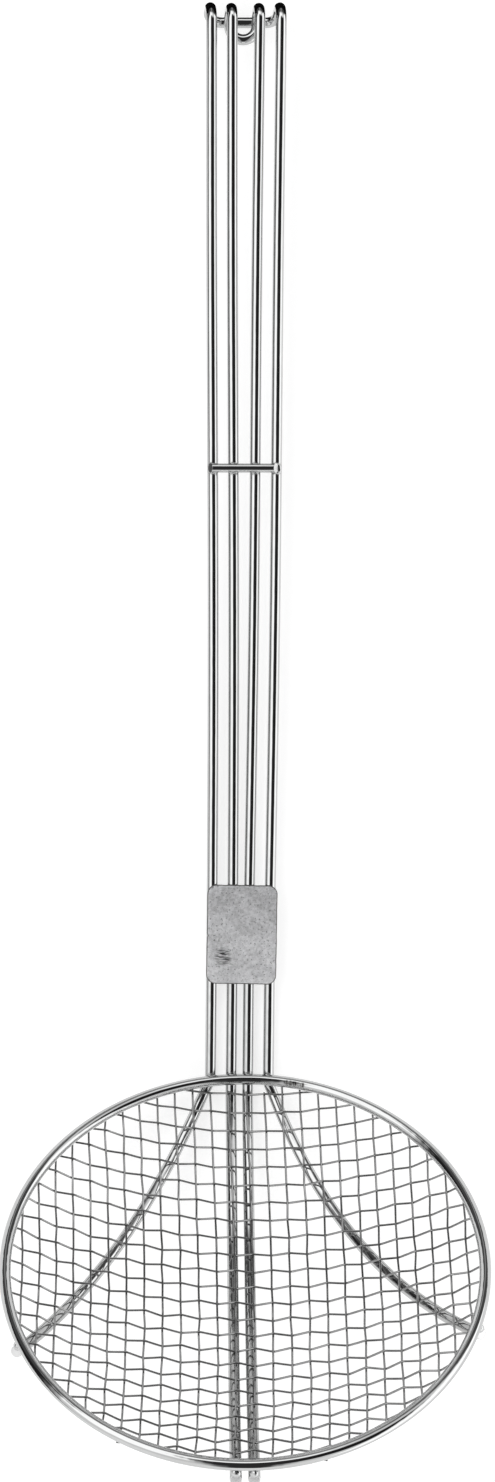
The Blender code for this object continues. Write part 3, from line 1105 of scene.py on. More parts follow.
@dataclass
class HandleWires:
    """The two bent wires that are the ribs, the four rods and the hook.

    Attributes:
        layout: Where the wires lie.
        finish: Their finish.
        welds: The welds to the hoop and the crossbar.
        rib_weld_reach: How far a rib's weld to the hoop spreads.
        rod_weld_reach: How far a rod's weld to the hoop spreads.
        rib_steps: Steps along a rib.
        bend_steps: Steps round a small bend.
        hook_steps: Steps round a hook's bend.
        run_spacing: How far apart a rod's first stations lie.
        spacing: How far apart stations lie at most in the swept wire.
        search_spacing: How fine the stations are where a weld's place is looked for.
        free_edge_from: Towards the free edge from here, a wire is a rib's end.
        handle_edge_from: Towards the handle from here, it is a rod's root.
        cut: The finish of the sheared ends.
    """

    layout: Layout
    finish: PlatedWire
    welds: list[Weld] = field(default_factory=list)
    rib_weld_reach: float = 0.0017
    rod_weld_reach: float = 0.0015
    rib_steps: int = 70
    bend_steps: int = 16
    hook_steps: int = 40
    run_spacing: float = 0.008
    spacing: float = 0.004
    search_spacing: float = 0.0005
    free_edge_from: float = -0.02
    handle_edge_from: float = 0.06
    cut: CutSteel = CutSteel("sheared_rod_end", "#E8E8E8")

    def inner_rib(self, side: int) -> np.ndarray:
        """A rib that is straight in plan, from past the free edge to the root.

        Args:
            side: -1 for the left rib, 1 for the right.

        Returns:
            World points from the sheared end to the root.
        """
        s, layout = self.layout.sizes, self.layout
        reach = s.rim_radius + s.rib_overhang
        across = side * layout.inner_half_gap(0.0)
        end = np.array([across, -sqrt(reach**2 - across**2)])
        root_across = side * layout.inner_half_gap(0.0) + layout.set_over(0.0)
        root = layout.root_of_rod(root_across)[:2]
        share = np.linspace(0, 1, self.rib_steps + 1)[:, None]
        return layout.on_sphere(end * (1 - share) + root * share, s.rib_cap_radius)

    def outer_rib(
        self, side: int, end_angle: float, splay_at_root: float, splay_at_end: float
    ) -> np.ndarray:
        """A splayed rib: one quadratic curve in plan between its two directions.

        Args:
            side: -1 for the left rib, 1 for the right.
            end_angle: Where on the hoop it ends, below the bowl's own X axis.
            splay_at_root: Its direction at the root, off the handle's.
            splay_at_end: Its direction at the end, off the handle's.

        Returns:
            World points from the sheared end to the root.
        """
        s, layout = self.layout.sizes, self.layout
        reach = s.rim_radius + s.rib_overhang
        end = np.array([side * reach * cos(end_angle), -reach * sin(end_angle)])
        turned_out = side * s.splay_lead * tan(splay_at_root)
        rod_across = side * (layout.inner_half_gap(0.0) + s.rod_spacing) + layout.set_over(0.0)
        root = layout.root_of_rod(rod_across + turned_out)[:2]
        gap_across, gap_along = abs(end[0] - root[0]), root[1] - end[1]
        run = (gap_across - gap_along * tan(splay_at_end)) / (
            sin(splay_at_root) - cos(splay_at_root) * tan(splay_at_end)
        )
        aim = root + run * np.array([side * sin(splay_at_root), -cos(splay_at_root)])
        share = np.linspace(0, 1, self.rib_steps + 1)[:, None]
        plan = end * (1 - share) ** 2 + 2 * aim * share * (1 - share) + root * share**2
        return layout.on_sphere(plan, s.rib_cap_radius)

    def inner_half(self, side: int) -> np.ndarray:
        """Half of the inner wire, from a rib's end to the bottom of the U behind the hook.

        Args:
            side: -1 for the left half, 1 for the right.

        Returns:
            World points along the half.
        """
        s, layout = self.layout.sizes, self.layout
        arc_place = s.handle_length - s.inner_hook_radius
        rib = self.inner_rib(side)
        rod = self.rod_run(side, 0, arc_place - self.run_spacing)
        root = fillet(rib[-2], rib[-1], rod[0], s.root_bend_radius, self.bend_steps)
        angles = np.linspace(0, pi, self.hook_steps + 1)
        places = arc_place + s.inner_hook_radius * np.sin(angles)
        depths = s.inner_hook_radius * (1 - np.cos(angles))
        hook = [layout.rod_point(side, 0, place, depth) for place, depth in zip(places, depths)]
        half = layout.inner_half_gap(arc_place)
        angles = np.linspace(0, pi / 2, self.bend_steps + 1)[1:]
        depth = 2 * s.inner_hook_radius
        bend = [layout.behind(side * half * cos(a), arc_place - half * sin(a), depth) for a in angles]
        return np.concatenate((rib[:-1], root, rod, hook, bend))

    def rod_run(self, side: int, row: int, end: float) -> np.ndarray:
        """Even stations up a rod, from the top of the plate to a place below its hook.

        Args:
            side: -1 for a left rod, 1 for a right one.
            row: 0 for an inner rod, 1 for an outer.
            end: Where along the handle the run ends.

        Returns:
            World points along the rod.
        """
        start = self.layout.spread_place
        places = np.linspace(start, end, int((end - start) / self.run_spacing) + 1)
        return np.array([self.layout.rod_point(side, row, place) for place in places])

    def outer_half(self, side: int, rib: np.ndarray) -> np.ndarray:
        """Half of the outer wire, from a splayed rib's end to the middle of the cross-run.

        Args:
            side: -1 for the left half, 1 for the right.
            rib: The rib's points, end first.

        Returns:
            World points along the half.
        """
        s, layout = self.layout.sizes, self.layout
        root = rib[-1]
        root_place = float((root - layout.handle.origin) @ layout.handle.turn[:, 1])
        turn_out = layout.rod_point(side, 1, root_place + s.splay_lead)
        rod = self.rod_run(side, 1, layout.hook_corner_place - 2 * s.outer_hook_radius)
        corner = layout.rod_point(side, 1, layout.hook_corner_place)
        behind = layout.rod_point(side, 1, layout.cross_run_place, layout.cross_run_depth)
        middle = layout.behind(0.0, layout.cross_run_place, layout.cross_run_depth)
        bends = [
            fillet(rib[-2], root, turn_out, s.root_bend_radius, self.bend_steps),
            fillet(root, turn_out, rod[0], s.splay_bend_radius, self.bend_steps),
            rod,
            fillet(rod[-1], corner, behind, s.outer_hook_radius, self.hook_steps),
            fillet(corner, behind, middle, s.cross_run_bend_radius, self.bend_steps),
        ]
        return np.concatenate((rib[:-1], *bends))

    def halves(self) -> list[np.ndarray]:
        """The four half wires, each from a rib's end to the middle behind the hook.

        Returns:
            World points along the outer left and right, then the inner left and right.
        """
        s = self.layout.sizes
        left_rib = self.outer_rib(-1, s.left_rib_end, s.left_splay_at_root, s.left_splay_at_end)
        right_rib = self.outer_rib(1, s.right_rib_end, s.right_splay_at_root, s.right_splay_at_end)
        outer = [self.outer_half(-1, left_rib), self.outer_half(1, right_rib)]
        return outer + [self.inner_half(-1), self.inner_half(1)]

    def welds_to_hoop(self, hoop_line: np.ndarray) -> list[list[Weld]]:
        """Where the ribs' ends and then the rods are welded to the hoop.

        Args:
            hoop_line: Points round the hoop's centre line.

        Returns:
            The four welds at the free edge and the four at the handle.
        """
        radii = (self.layout.sizes.rod_radius, self.layout.sizes.rod_radius)
        near, far = [], []
        for half in self.halves():
            line = filled_in(half, self.search_spacing)
            along = (line - self.layout.bowl.origin) @ self.layout.bowl.turn[:, 1]
            at_free_edge, at_handle = line[along < self.free_edge_from], line[along > self.handle_edge_from]
            near.append(Weld.of_lines(at_free_edge, hoop_line, radii, self.rib_weld_reach))
            far.append(Weld.of_lines(at_handle, hoop_line, radii, self.rod_weld_reach))
        return [near, far]

    def build(self) -> list[Any]:
        """Both wires, each swept from one sheared end to the other.

        Returns:
            The outer wire's object and the inner one's.
        """
        wire = RoundWire(self.layout.sizes.rod_radius)
        left, right, inner_left, inner_right = self.halves()
        spots = np.array([weld.middle for weld in self.welds])
        material = self.finish.material(spots)
        pieces = []
        for name, node, path in (
            ("chromed_outer_wire", "handle_outer_wire", np.concatenate((left, right[::-1]))),
            ("chromed_inner_wire", "handle_inner_wire", np.concatenate((inner_left, inner_right[-2::-1]))),
        ):
            surface = wire.swept(filled_in(path, self.spacing))
            piece = add_object(name, surface, material)
            for faces in wire.cut_faces(surface):
                self.cut.cover(piece, faces)
            fit_piece(piece, node)
            pieces.append(piece)
        return pieces


@dataclass
class Crossbar:
    """The short straight wire welded across the front of the rods, its ends sheared aslant.

    Attributes:
        layout: Where the bar lies.
        finish: Its finish.
        spacing: How far apart its stations lie.
        slant: How far an end leans in for each metre of height.
        slant_length: How far in from an end the lean fades out.
        end_round: The radius of the edge at a sheared end.
        weld_reach: How far a weld to a rod spreads.
        left_cut_painted_shade: The finish of the left end, near-black as painted shade, since that end is in
            shade.
        right_cut: The finish of the right end.
    """

    layout: Layout
    finish: PlatedWire
    spacing: float = 0.0005
    slant: float = tan(radians(25.0))
    slant_length: float = 0.0022
    end_round: float = 0.0002
    weld_reach: float = 0.0021
    # The left end's near-black tone is painted shade: that end lies in shade.
    left_cut_painted_shade: CutSteel = CutSteel("sheared_bar_end", "#1C1C1C", 0.4)
    right_cut: CutSteel = CutSteel("sheared_bar_end", "#E8E8E8", 0.4)

    def build(self) -> list[Any]:
        """The bar as a straight round wire whose ends lean in towards its front.

        Returns:
            The bar's object, alone in a list.
        """
        s, layout = self.layout.sizes, self.layout
        radius = s.crossbar_diameter / 2
        height = s.rod_radius + s.seat_gap + radius
        across = layout.set_over(s.crossbar_place)
        half = s.crossbar_length / 2
        ends = np.array([[-half, 0.0, 0.0], [half, 0.0, 0.0]])
        wire = RoundWire(radius, end_round=self.end_round)
        bar = wire.swept(filled_in(ends, self.spacing))
        far_out = np.clip(1 - (half - np.abs(bar.points[:, 0])) / self.slant_length, 0, 1)
        lean = self.slant * (bar.points[:, 2] + radius)
        bar.points[:, 0] -= np.sign(bar.points[:, 0]) * far_out * lean
        bar.points = layout.handle.place(bar.points + np.array([across, s.crossbar_place, height]))
        spots = np.array([weld.middle for weld in self.welds()])
        piece = add_object("chromed_crossbar", bar, self.finish.material(spots))
        for cut, faces in zip((self.left_cut_painted_shade, self.right_cut), wire.cut_faces(bar)):
            cut.cover(piece, faces)
        fit_piece(piece, "crossbar")
        return [piece]

    def welds(self) -> list[Weld]:
        """The welds between the bar and the four rods."""
        return Weld.over_rods(self.layout, (self.layout.sizes.crossbar_place,), self.weld_reach)


@dataclass
class HandlePlate:
    """The plain sheet plate across the front of the rods, with round corners and eased edges.

    Attributes:
        layout: Where the plate lies, and its size.
        finish: Its finish.
        edge_round: The radius of its eased edges.
        corner_steps: How many steps a corner is cut into.
        side_steps: How many steps a side is cut into.
        inner_rings: How many rings lead from the edge to the middle.
        ring_spread: The power that draws those rings closer at the edge.
        roll_over_width: How far in from the edge the blanked front rolls over.
        roll_over_depth: How deep it rolls over at the edge.
        ripple: How high the sheet's ripples are.
        outline_wobble: How uneven the blanked outline is.
        nick_depth: How deep the nick in the left side is.
        nick_width: How wide it is.
        nick_place: How far up the plate it lies.
        bevel_steps: How many steps an eased edge is cut into.
        weld_place: How far over and under the middle the welds behind it lie.
        weld_reach: How far each spreads.
        cut: The finish of its blanked edge, dark grey partly for the bare torn steel and partly as painted
            shade, the thin contact shadow round the plate.
    """

    layout: Layout
    finish: WornSheetSteel
    edge_round: float = 0.00035
    corner_steps: int = 14
    side_steps: int = 70
    inner_rings: int = 34
    ring_spread: float = 1.5
    roll_over_width: float = 0.0018
    roll_over_depth: float = 0.0003
    ripple: float = 0.00002
    outline_wobble: float = 0.00004
    nick_depth: float = 0.0004
    nick_width: float = 0.0004
    nick_place: float = -0.0006
    bevel_steps: int = 4
    weld_place: float = 0.011
    weld_reach: float = 0.0012
    # The blanked edge's dark grey is partly the bare torn steel and partly painted shade: the thin contact
    # shadow round the plate.
    cut: CutSteel = CutSteel("blanked_plate_edge_and_painted_shade", "#5E5E5C", 0.5)

    def carrier(self) -> tuple[np.ndarray, np.ndarray]:
        """The line through the corners' centres and the outline's outward direction at each point.

        Returns:
            Both by point, anticlockwise: a corner's centre with its turning directions, then
            the straight side after it with one direction.
        """
        s = self.layout.sizes
        half = np.array([s.plate_width, s.plate_height]) / 2 - s.plate_corner_radius
        signs = np.array([(1, 1), (-1, 1), (-1, -1), (1, -1)])
        spine, outward = [], []
        for quarter, sign in enumerate(signs):
            angle = pi / 2 * (quarter + np.linspace(0, 1, self.corner_steps + 1))
            share = np.linspace(0, 1, self.side_steps + 1)[1:-1, None]
            spine += [np.repeat([half * sign], len(angle), axis=0)]
            spine += [half * sign * (1 - share) + half * signs[(quarter + 1) % 4] * share]
            outward += [np.stack((np.cos(angle), np.sin(angle)), axis=1)]
            outward += [np.repeat([[cos(angle[-1]), sin(angle[-1])]], len(share), axis=0)]
        return np.concatenate(spine), np.concatenate(outward)

    def outline(self, inset: float) -> np.ndarray:
        """The plate's outline in its own plane, this far inside the real one.

        Each point of the carrier moves outwards by the corner radius less the inset. A few
        sine waves make the blanked edge a little uneven, and one bell-shaped nick cuts the
        left side.

        Args:
            inset: How far inside.

        Returns:
            Points anticlockwise.
        """
        spine, outward = self.carrier()
        turn = np.linspace(0, 2 * pi, len(spine), endpoint=False)
        waves = np.sin(7 * turn + 1) + np.sin(16 * turn + 2) + np.sin(31 * turn) + 2
        off_nick = (spine[:, 1] - self.nick_place) / self.nick_width
        on_left = outward[:, 0] < -0.99
        nick = self.nick_depth * np.exp(-(off_nick**2)) * on_left
        reach = self.layout.sizes.plate_corner_radius - inset + self.outline_wobble * waves / 2 - nick
        return spine + outward * reach[:, None]

    def sunk(self, plan: np.ndarray) -> np.ndarray:
        """How far the front lies under its full height at places in the plate's plane.

        The blanked edge rolls over by a square law of the distance to a rounded rectangle's
        outline, and the sheet ripples by three crossed sine waves.

        Args:
            plan: The places, across and along.

        Returns:
            The depth at each.
        """
        s = self.layout.sizes
        half = np.array([s.plate_width, s.plate_height]) / 2 - s.plate_corner_radius
        beyond = np.abs(plan) - half
        outside = np.linalg.norm(np.maximum(beyond, 0), axis=-1) + np.minimum(beyond.max(axis=-1), 0)
        to_edge = np.clip((s.plate_corner_radius - outside) / self.roll_over_width, 0, 1)
        x, y = plan[..., 0] / MILLIMETRE, plan[..., 1] / MILLIMETRE
        waves = np.sin(0.9 * x + 0.5 * y) + np.sin(0.6 * y - 0.8 * x + 1) + np.sin(1.3 * y + 0.3 * x + 2)
        return self.roll_over_depth * (1 - to_edge) ** 2 + self.ripple * (waves + 3) / 2

    def build(self) -> list[Any]:
        """The plate as rings of its outline: back, rounded edge, then front to its middle.

        Returns:
            The plate's object, alone in a list.
        """
        s, layout = self.layout.sizes, self.layout
        bevel = np.linspace(0, pi / 2, self.bevel_steps + 1)
        levels = self.edge_round * (1 - np.cos(bevel)) / s.plate_thickness
        eased = [self.outline(inset) for inset in self.edge_round * (1 - np.sin(bevel))]
        shrink = np.linspace(0, 1, self.inner_rings + 1)[:-1] ** self.ring_spread
        back = [(eased[0] * (1 - factor), 0.0) for factor in shrink[::-1]]
        back += list(zip(eased[1:], levels[1:]))
        edge = list(zip(eased[::-1], 1 - levels[::-1]))
        front = [(eased[0] * (1 - factor), 1.0) for factor in shrink[1:]]
        rings = [np.column_stack((ring, np.full(len(ring), level))) for ring, level in back + edge + front]
        rings = np.stack(rings)
        turns = rings.shape[1]
        points = np.concatenate((rings.reshape(-1, 3), [[0.0, 0.0, 0.0], [0.0, 0.0, 1.0]]))
        plan = points[:, :2].copy()
        points[:, 2] *= s.plate_thickness - self.sunk(plan)
        turn = np.array([[cos(s.plate_turn), -sin(s.plate_turn)], [sin(s.plate_turn), cos(s.plate_turn)]])
        points[:, :2] = points[:, :2] @ turn.T
        placed = layout.handle.place(points + self.shift)
        flat = np.zeros(turns + 1), np.zeros(len(rings))
        surface = grid_surface(placed[:-2].reshape(len(rings), turns, 3), *flat)
        surface = capped(surface, turns, placed[-2], first_ring=True)
        surface = capped(surface, turns, placed[-1], first_ring=False)
        piece = add_object("dull_steel_plate", surface.mapped(plan), self.finish.material())
        edge_start = (len(back) - len(bevel)) * turns
        blanked = np.arange(edge_start, edge_start + (2 * len(bevel) - 1) * turns)
        self.cut.cover(piece, blanked)
        fit_piece(piece, "handle_plate")
        return [piece]

    @property
    def shift(self) -> np.ndarray:
        """The plate's place on the fronts of the rods.

        Returns:
            Where the middle of its back lies in the handle's frame.
        """
        s = self.layout.sizes
        across = self.layout.set_over(s.plate_place) + s.plate_set_over
        return np.array([across, s.plate_place, s.rod_radius + s.seat_gap])

    def welds(self) -> list[Weld]:
        """The projection welds between the plate's back and the rods.

        Returns:
            The welds, two to a rod.
        """
        middle = self.layout.sizes.plate_place
        places = (middle - self.weld_place, middle + self.weld_place)
        return Weld.over_rods(self.layout, places, self.weld_reach)


class WireFamily(Enum):
    """The two families of wires in the cloth."""

    WARP = "warp"
    WEFT = "weft"


@dataclass
class WovenCloth:
    """The woven bowl: warps along the handle's direction, wefts across it, each a round wire.

    Attributes:
        layout: Where the bowl lies.
        finish: The wires' finish.
        wire_diameter: How thick the plated wire is.
        warp_crimp: How far a warp swings in and out from its own middle.
        warp_raise: How far that middle lies inside the sphere.
        weft_crimp: How far a weft swings in and out.
        weft_raise: How far its middle lies inside the sphere.
        end_reach: How much farther out a wire is cut near the handle than in the middle.
        sample_step: How fine the stations are while a bend is rounded.
        keep_every: Which of them are kept.
        bend_length: How long the rounding of a bend is.
        sway: How far the wires stray sideways, as a standard deviation.
        sway_seed: What the random draw of the sways starts from.
        turns: Points round a wire.
        end_round: The radius of the edge at a wire's end.
        end_steps: How many steps it is cut into.
        settling_rounds: How often a crossing or an end is worked out from the one before.
    """

    layout: Layout
    finish: PlatedWire
    wire_diameter: float = 0.00082
    warp_crimp: float = 0.00020
    warp_raise: float = 0.00010
    weft_crimp: float = 0.00085
    weft_raise: float = 0.00015
    end_reach: float = 0.0006
    sample_step: float = 0.00025
    keep_every: int = 3
    bend_length: float = 0.0016
    sway: float = 0.00012
    sway_seed: int = 26
    turns: int = 10
    end_round: float = 0.0001
    end_steps: int = 2
    settling_rounds: int = 8

    def places(self, pitch: float, shift: float) -> np.ndarray:
        """Where parallel wires lie in plan: the sphere's radius by the sine of an even arc.

        Args:
            pitch: How far apart they lie, along the sphere.
            shift: How far one of them lies off the bowl's middle.

        Returns:
            The places of all that fit in the hoop.
        """
        s = self.layout.sizes
        reach = s.cap_radius * asin((s.rim_radius - s.rod_radius) / s.cap_radius)
        first, last = ceil((-reach - shift) / pitch), floor((reach - shift) / pitch)
        return s.cap_radius * np.sin((np.arange(first, last + 1) * pitch + shift) / s.cap_radius)

    def warp_across(self, place: Any, along: Any) -> Any:
        """How far across the bowl a warp lies: it fans out, leans and bows along the bowl.

        Args:
            place: The warp's place in the bowl's middle.
            along: How far along the bowl.

        Returns:
            How far across, a number or an array as the arguments are.
        """
        s = self.layout.sizes
        share = along / s.rim_radius
        return place * (1 + s.warp_fan * share) - tan(s.warp_lean) * along + s.warp_bow * share**2

    def weft_along(self, place: Any, across: Any) -> Any:
        """How far along the bowl a weft lies: it leans and bows across the bowl."""
        s = self.layout.sizes
        return place - tan(s.weft_lean) * across + s.weft_bow * (across / s.rim_radius) ** 2

    def wire_end(self, line: Callable[[Any, Any], Any], place: float, reach: float) -> float:
        """How far along itself a wire comes to a distance from the bowl's middle.

        Args:
            line: How far aside the wire lies, from its place and from how far along it is.
            place: The wire's place in the bowl's middle.
            reach: The distance, negative for the wire's start.

        Returns:
            The place along the wire, found by a few rounds of the same step.
        """
        end = 0.0
        for _ in range(self.settling_rounds):
            end = copysign(sqrt(reach**2 - line(place, end) ** 2), reach)
        return end

    def edge_at(self, height_share: float) -> float:
        """How far out a wire is cut, where the share runs from -1 at the free edge to 1 at the handle."""
        return self.layout.sizes.rim_radius + self.end_reach * height_share

    def lifted_line(
        self,
        crossings: np.ndarray,
        lifts: np.ndarray,
        sways: np.ndarray,
        low: float,
        high: float,
        pitch: float,
    ) -> tuple[np.ndarray, np.ndarray, np.ndarray]:
        """Fine stations along a wire, the lift at each and how far each sways sideways.

        The lift runs straight from crossing to crossing, and the bends are then rounded by
        the mean over a short window, as a stiff wire rounds them.

        Args:
            crossings: Where along the wire it crosses the others.
            lifts: Its lift at each crossing.
            sways: How far it lies to one side at each crossing.
            low: Where the wire starts.
            high: Where it ends.
            pitch: How far apart the wires lie that it crosses.

        Returns:
            Stations, lifts and sways.
        """
        s = self.layout.sizes
        to_hoop = s.seat_on_cloth - s.rod_radius - self.wire_diameter / 2
        clear = self.wire_diameter
        inside = (crossings > low + clear) & (crossings < high - clear)
        ends = []
        for end in (low, high):
            nearest = int(np.argmin(np.abs(crossings - end)))
            close = abs(crossings[nearest] - end) < pitch * s.share_near_crossing
            ends.append(lifts[nearest] if close and lifts[nearest] < 0 else to_hoop)
        knots = np.concatenate(([low], crossings[inside], [high]))
        heights = np.concatenate((ends[:1], lifts[inside], ends[1:]))
        stations = np.linspace(low, high, int((high - low) / self.sample_step) + 1)
        window = np.hanning(int(self.bend_length / self.sample_step) + 2)[1:-1]
        window /= window.sum()
        pad = len(window) // 2
        dense = np.interp(stations, knots, heights)
        dense = np.convolve(np.pad(dense, pad, mode="edge"), window, mode="same")[pad:-pad]
        swayed = np.interp(stations, crossings, sways)
        kept = np.unique(np.append(np.arange(0, len(stations), self.keep_every), len(stations) - 1))
        return stations[kept], dense[kept], swayed[kept]

    def wire(self, plan: np.ndarray, lifts: np.ndarray) -> Surface:
        """One wire of the cloth: a round wire over a plan line, lifted off the sphere.

        Args:
            plan: Across and along for each station, in the bowl's frame.
            lifts: How far each station lies inside the sphere.

        Returns:
            The wire's surface.
        """
        path = self.layout.on_sphere(plan, self.layout.sizes.cap_radius, lifts)
        inward = self.layout.towards_cap_centre(path)
        sides = unit(np.cross(run_directions(path), inward))
        wire = RoundWire(self.wire_diameter / 2, self.turns, self.end_round, self.end_steps)
        return wire.swept(path, sides)

    def build(self) -> list[Any]:
        """Every warp and weft, over and under by turns, each standing for its own part.

        Returns:
            The warps' objects from left to right, then the wefts' from the free edge up.
        """
        s, layout = self.layout.sizes, self.layout
        warps = self.places(s.warp_pitch, s.warp_pitch / 2)
        wefts = self.places(s.weft_pitch, s.weft_shift)
        across = np.repeat(warps[:, None], len(wefts), axis=1)
        for _ in range(self.settling_rounds):
            along = self.weft_along(wefts, across)
            across = self.warp_across(warps[:, None], along)
        draw = np.random.default_rng(self.sway_seed)
        sways = draw.normal(0.0, self.sway, (2, len(warps), len(wefts)))
        trimmed = s.rim_radius - s.cloth_trim_at_rods
        rods_reach = layout.inner_half_gap(0.0) + s.rod_spacing + s.rod_diameter
        signs = (-1.0) ** np.add.outer(np.arange(len(warps)), np.arange(len(wefts)))
        material = self.finish.material(np.zeros((0, 3)))
        pieces = []
        for row, place in enumerate(warps):
            near_rods = abs(self.warp_across(place, trimmed) - layout.set_over(0.0)) < rods_reach
            share = sqrt(1 - (place / s.rim_radius) ** 2)
            low = self.wire_end(self.warp_across, place, -self.edge_at(-share))
            high = self.wire_end(self.warp_across, place, trimmed if near_rods else self.edge_at(share))
            lifts = self.warp_raise - self.warp_crimp * signs[row]
            line = self.lifted_line(along[row], lifts, sways[0, row], low, high, s.weft_pitch)
            plan = np.column_stack((self.warp_across(place, line[0]) + line[2], line[0]))
            pieces.append(self.add_wire(WireFamily.WARP, row, self.wire(plan, line[1]), material))
        for row, place in enumerate(wefts):
            edge = self.edge_at(place / s.rim_radius)
            low = self.wire_end(self.weft_along, place, -edge)
            high = self.wire_end(self.weft_along, place, edge)
            lifts = self.weft_raise + self.weft_crimp * signs[:, row]
            line = self.lifted_line(across[:, row], lifts, sways[1, :, row], low, high, s.warp_pitch)
            plan = np.column_stack((line[0], self.weft_along(place, line[0]) + line[2]))
            pieces.append(self.add_wire(WireFamily.WEFT, row, self.wire(plan, line[1]), material))
        return pieces

    def add_wire(self, family: WireFamily, row: int, surface: Surface, material: Any) -> Any:
        """One wire as an object that stands for its own part.

        Args:
            family: Which way the wire runs.
            row: Its number in its family, from 0.
            surface: Its mesh.
            material: The cloth's material.

        Returns:
            The object.
        """
        number = f"{family.value}_{row + 1:02d}"
        piece = add_object(f"woven_{number}", surface, material)
        fit_piece(piece, f"cloth_{number}")
        return piece


@dataclass(frozen=True)
class PhotoCamera:
    """A camera square over the handle's rods, as the photograph was taken.

    Attributes:
        distance: How far it is from the rods.
        pixels_per_millimetre: The picture's scale at the rods.
        picture_height: How many pixels high the picture is.
        sensor_height_mm: The sensor's height.
        across: Where across the handle the camera aims.
        place: Where along the handle it aims.
        tilt: How far it is turned about the handle's width.
        yaw: How far it is turned about the handle's length.
        roll: How far it is turned about its own line of sight.
    """

    distance: float = 1.2
    pixels_per_millimetre: float = 2.638
    picture_height: int = 1482
    sensor_height_mm: float = 24.0
    across: float = 0.0008
    place: float = 0.1351
    tilt: float = radians(0.4)
    yaw: float = radians(0.13)
    roll: float = radians(-0.06)

    def add(self, layout: Layout) -> None:
        """Sets the scene's camera by the handle's frame.

        Args:
            layout: Where the handle lies.
        """
        cx, sx, cy, sy, cz, sz = (f(a) for a in (self.tilt, self.yaw, self.roll) for f in (cos, sin))
        about_x = np.array([[1, 0, 0], [0, cx, -sx], [0, sx, cx]])
        about_y = np.array([[cy, 0, sy], [0, 1, 0], [-sy, 0, cy]])
        about_z = np.array([[cz, -sz, 0], [sz, cz, 0], [0, 0, 1]])
        turn = (about_z @ about_y @ about_x).T
        aim = np.array([self.across, self.place, 0.0])
        seat = aim + turn @ np.array([0.0, 0.0, self.distance])
        matrix = np.eye(4)
        matrix[:3, :3] = layout.handle.turn @ turn
        matrix[:3, 3] = layout.handle.place(seat)
        data = bpy.data.cameras.new("photo_camera")
        focal_pixels = self.pixels_per_millimetre * self.distance / MILLIMETRE
        data.sensor_fit = "VERTICAL"
        data.sensor_height = self.sensor_height_mm
        data.lens = focal_pixels * self.sensor_height_mm / self.picture_height
        camera = bpy.data.objects.new("photo_camera", data)
        camera.matrix_world = matrix.T.tolist()
        bpy.context.scene.collection.objects.link(camera)
        bpy.context.scene.camera = camera


@dataclass(frozen=True)
class Card:
    """A soft-edged rectangle of light or dark far off in one direction, as a mirror sees it.

    Attributes:
        right: How many degrees from overhead it stands to the right.
        hookward: How many degrees from overhead it stands towards the hook.
        width: Its width at distance one.
        length: Its length at distance one, along the handle.
        level: How bright it is, where 1 is white.
        soft: How wide its fading edge is at distance one.
        turn: How many degrees it is turned in its own plane.
    """

    right: float
    hookward: float
    width: float
    length: float
    level: float
    soft: float
    turn: float = 0.0

    def axes(self) -> list[np.ndarray]:
        """The card's own frame, turned in its plane by cosine and sine.

        Returns:
            Unit vectors towards the card, along its width and along its length.
        """
        lean = radians(sqrt(self.right**2 + self.hookward**2))
        heading = atan2(self.hookward, self.right)
        towards = np.array([sin(lean) * cos(heading), sin(lean) * sin(heading), cos(lean)])
        across = unit(np.cross([0.0, 1.0, 0.0], towards))
        along = np.cross(towards, across)
        c, s = cos(radians(self.turn)), sin(radians(self.turn))
        return [towards, c * across + s * along, c * along - s * across]

    def mask(self, node: Callable[..., Any], view: Any) -> Any:
        """Nodes that give 1 on the card and 0 off it.

        The view's components on the card's own axes, each over the one towards the card,
        are its place on the card, as on a flat sheet at distance one.

        Args:
            node: Adds a node to the world.
            view: The socket of the direction looked in.

        Returns:
            The mask's socket.
        """
        towards, across, along = (
            node("VectorMath", view, tuple(axis), operation="DOT_PRODUCT", out="Value")
            for axis in self.axes()
        )
        facing = node("Math", towards, 0.001, operation="MAXIMUM")
        mask = 1.0
        for reach, half in ((across, self.width / 2), (along, self.length / 2)):
            off = node("Math", node("Math", reach, facing, operation="DIVIDE"), operation="ABSOLUTE")
            fade = node("MapRange", off, half + self.soft / 2, half - self.soft / 2, **SMOOTH)
            mask = node("Math", fade, mask, operation="MULTIPLY")
        return mask


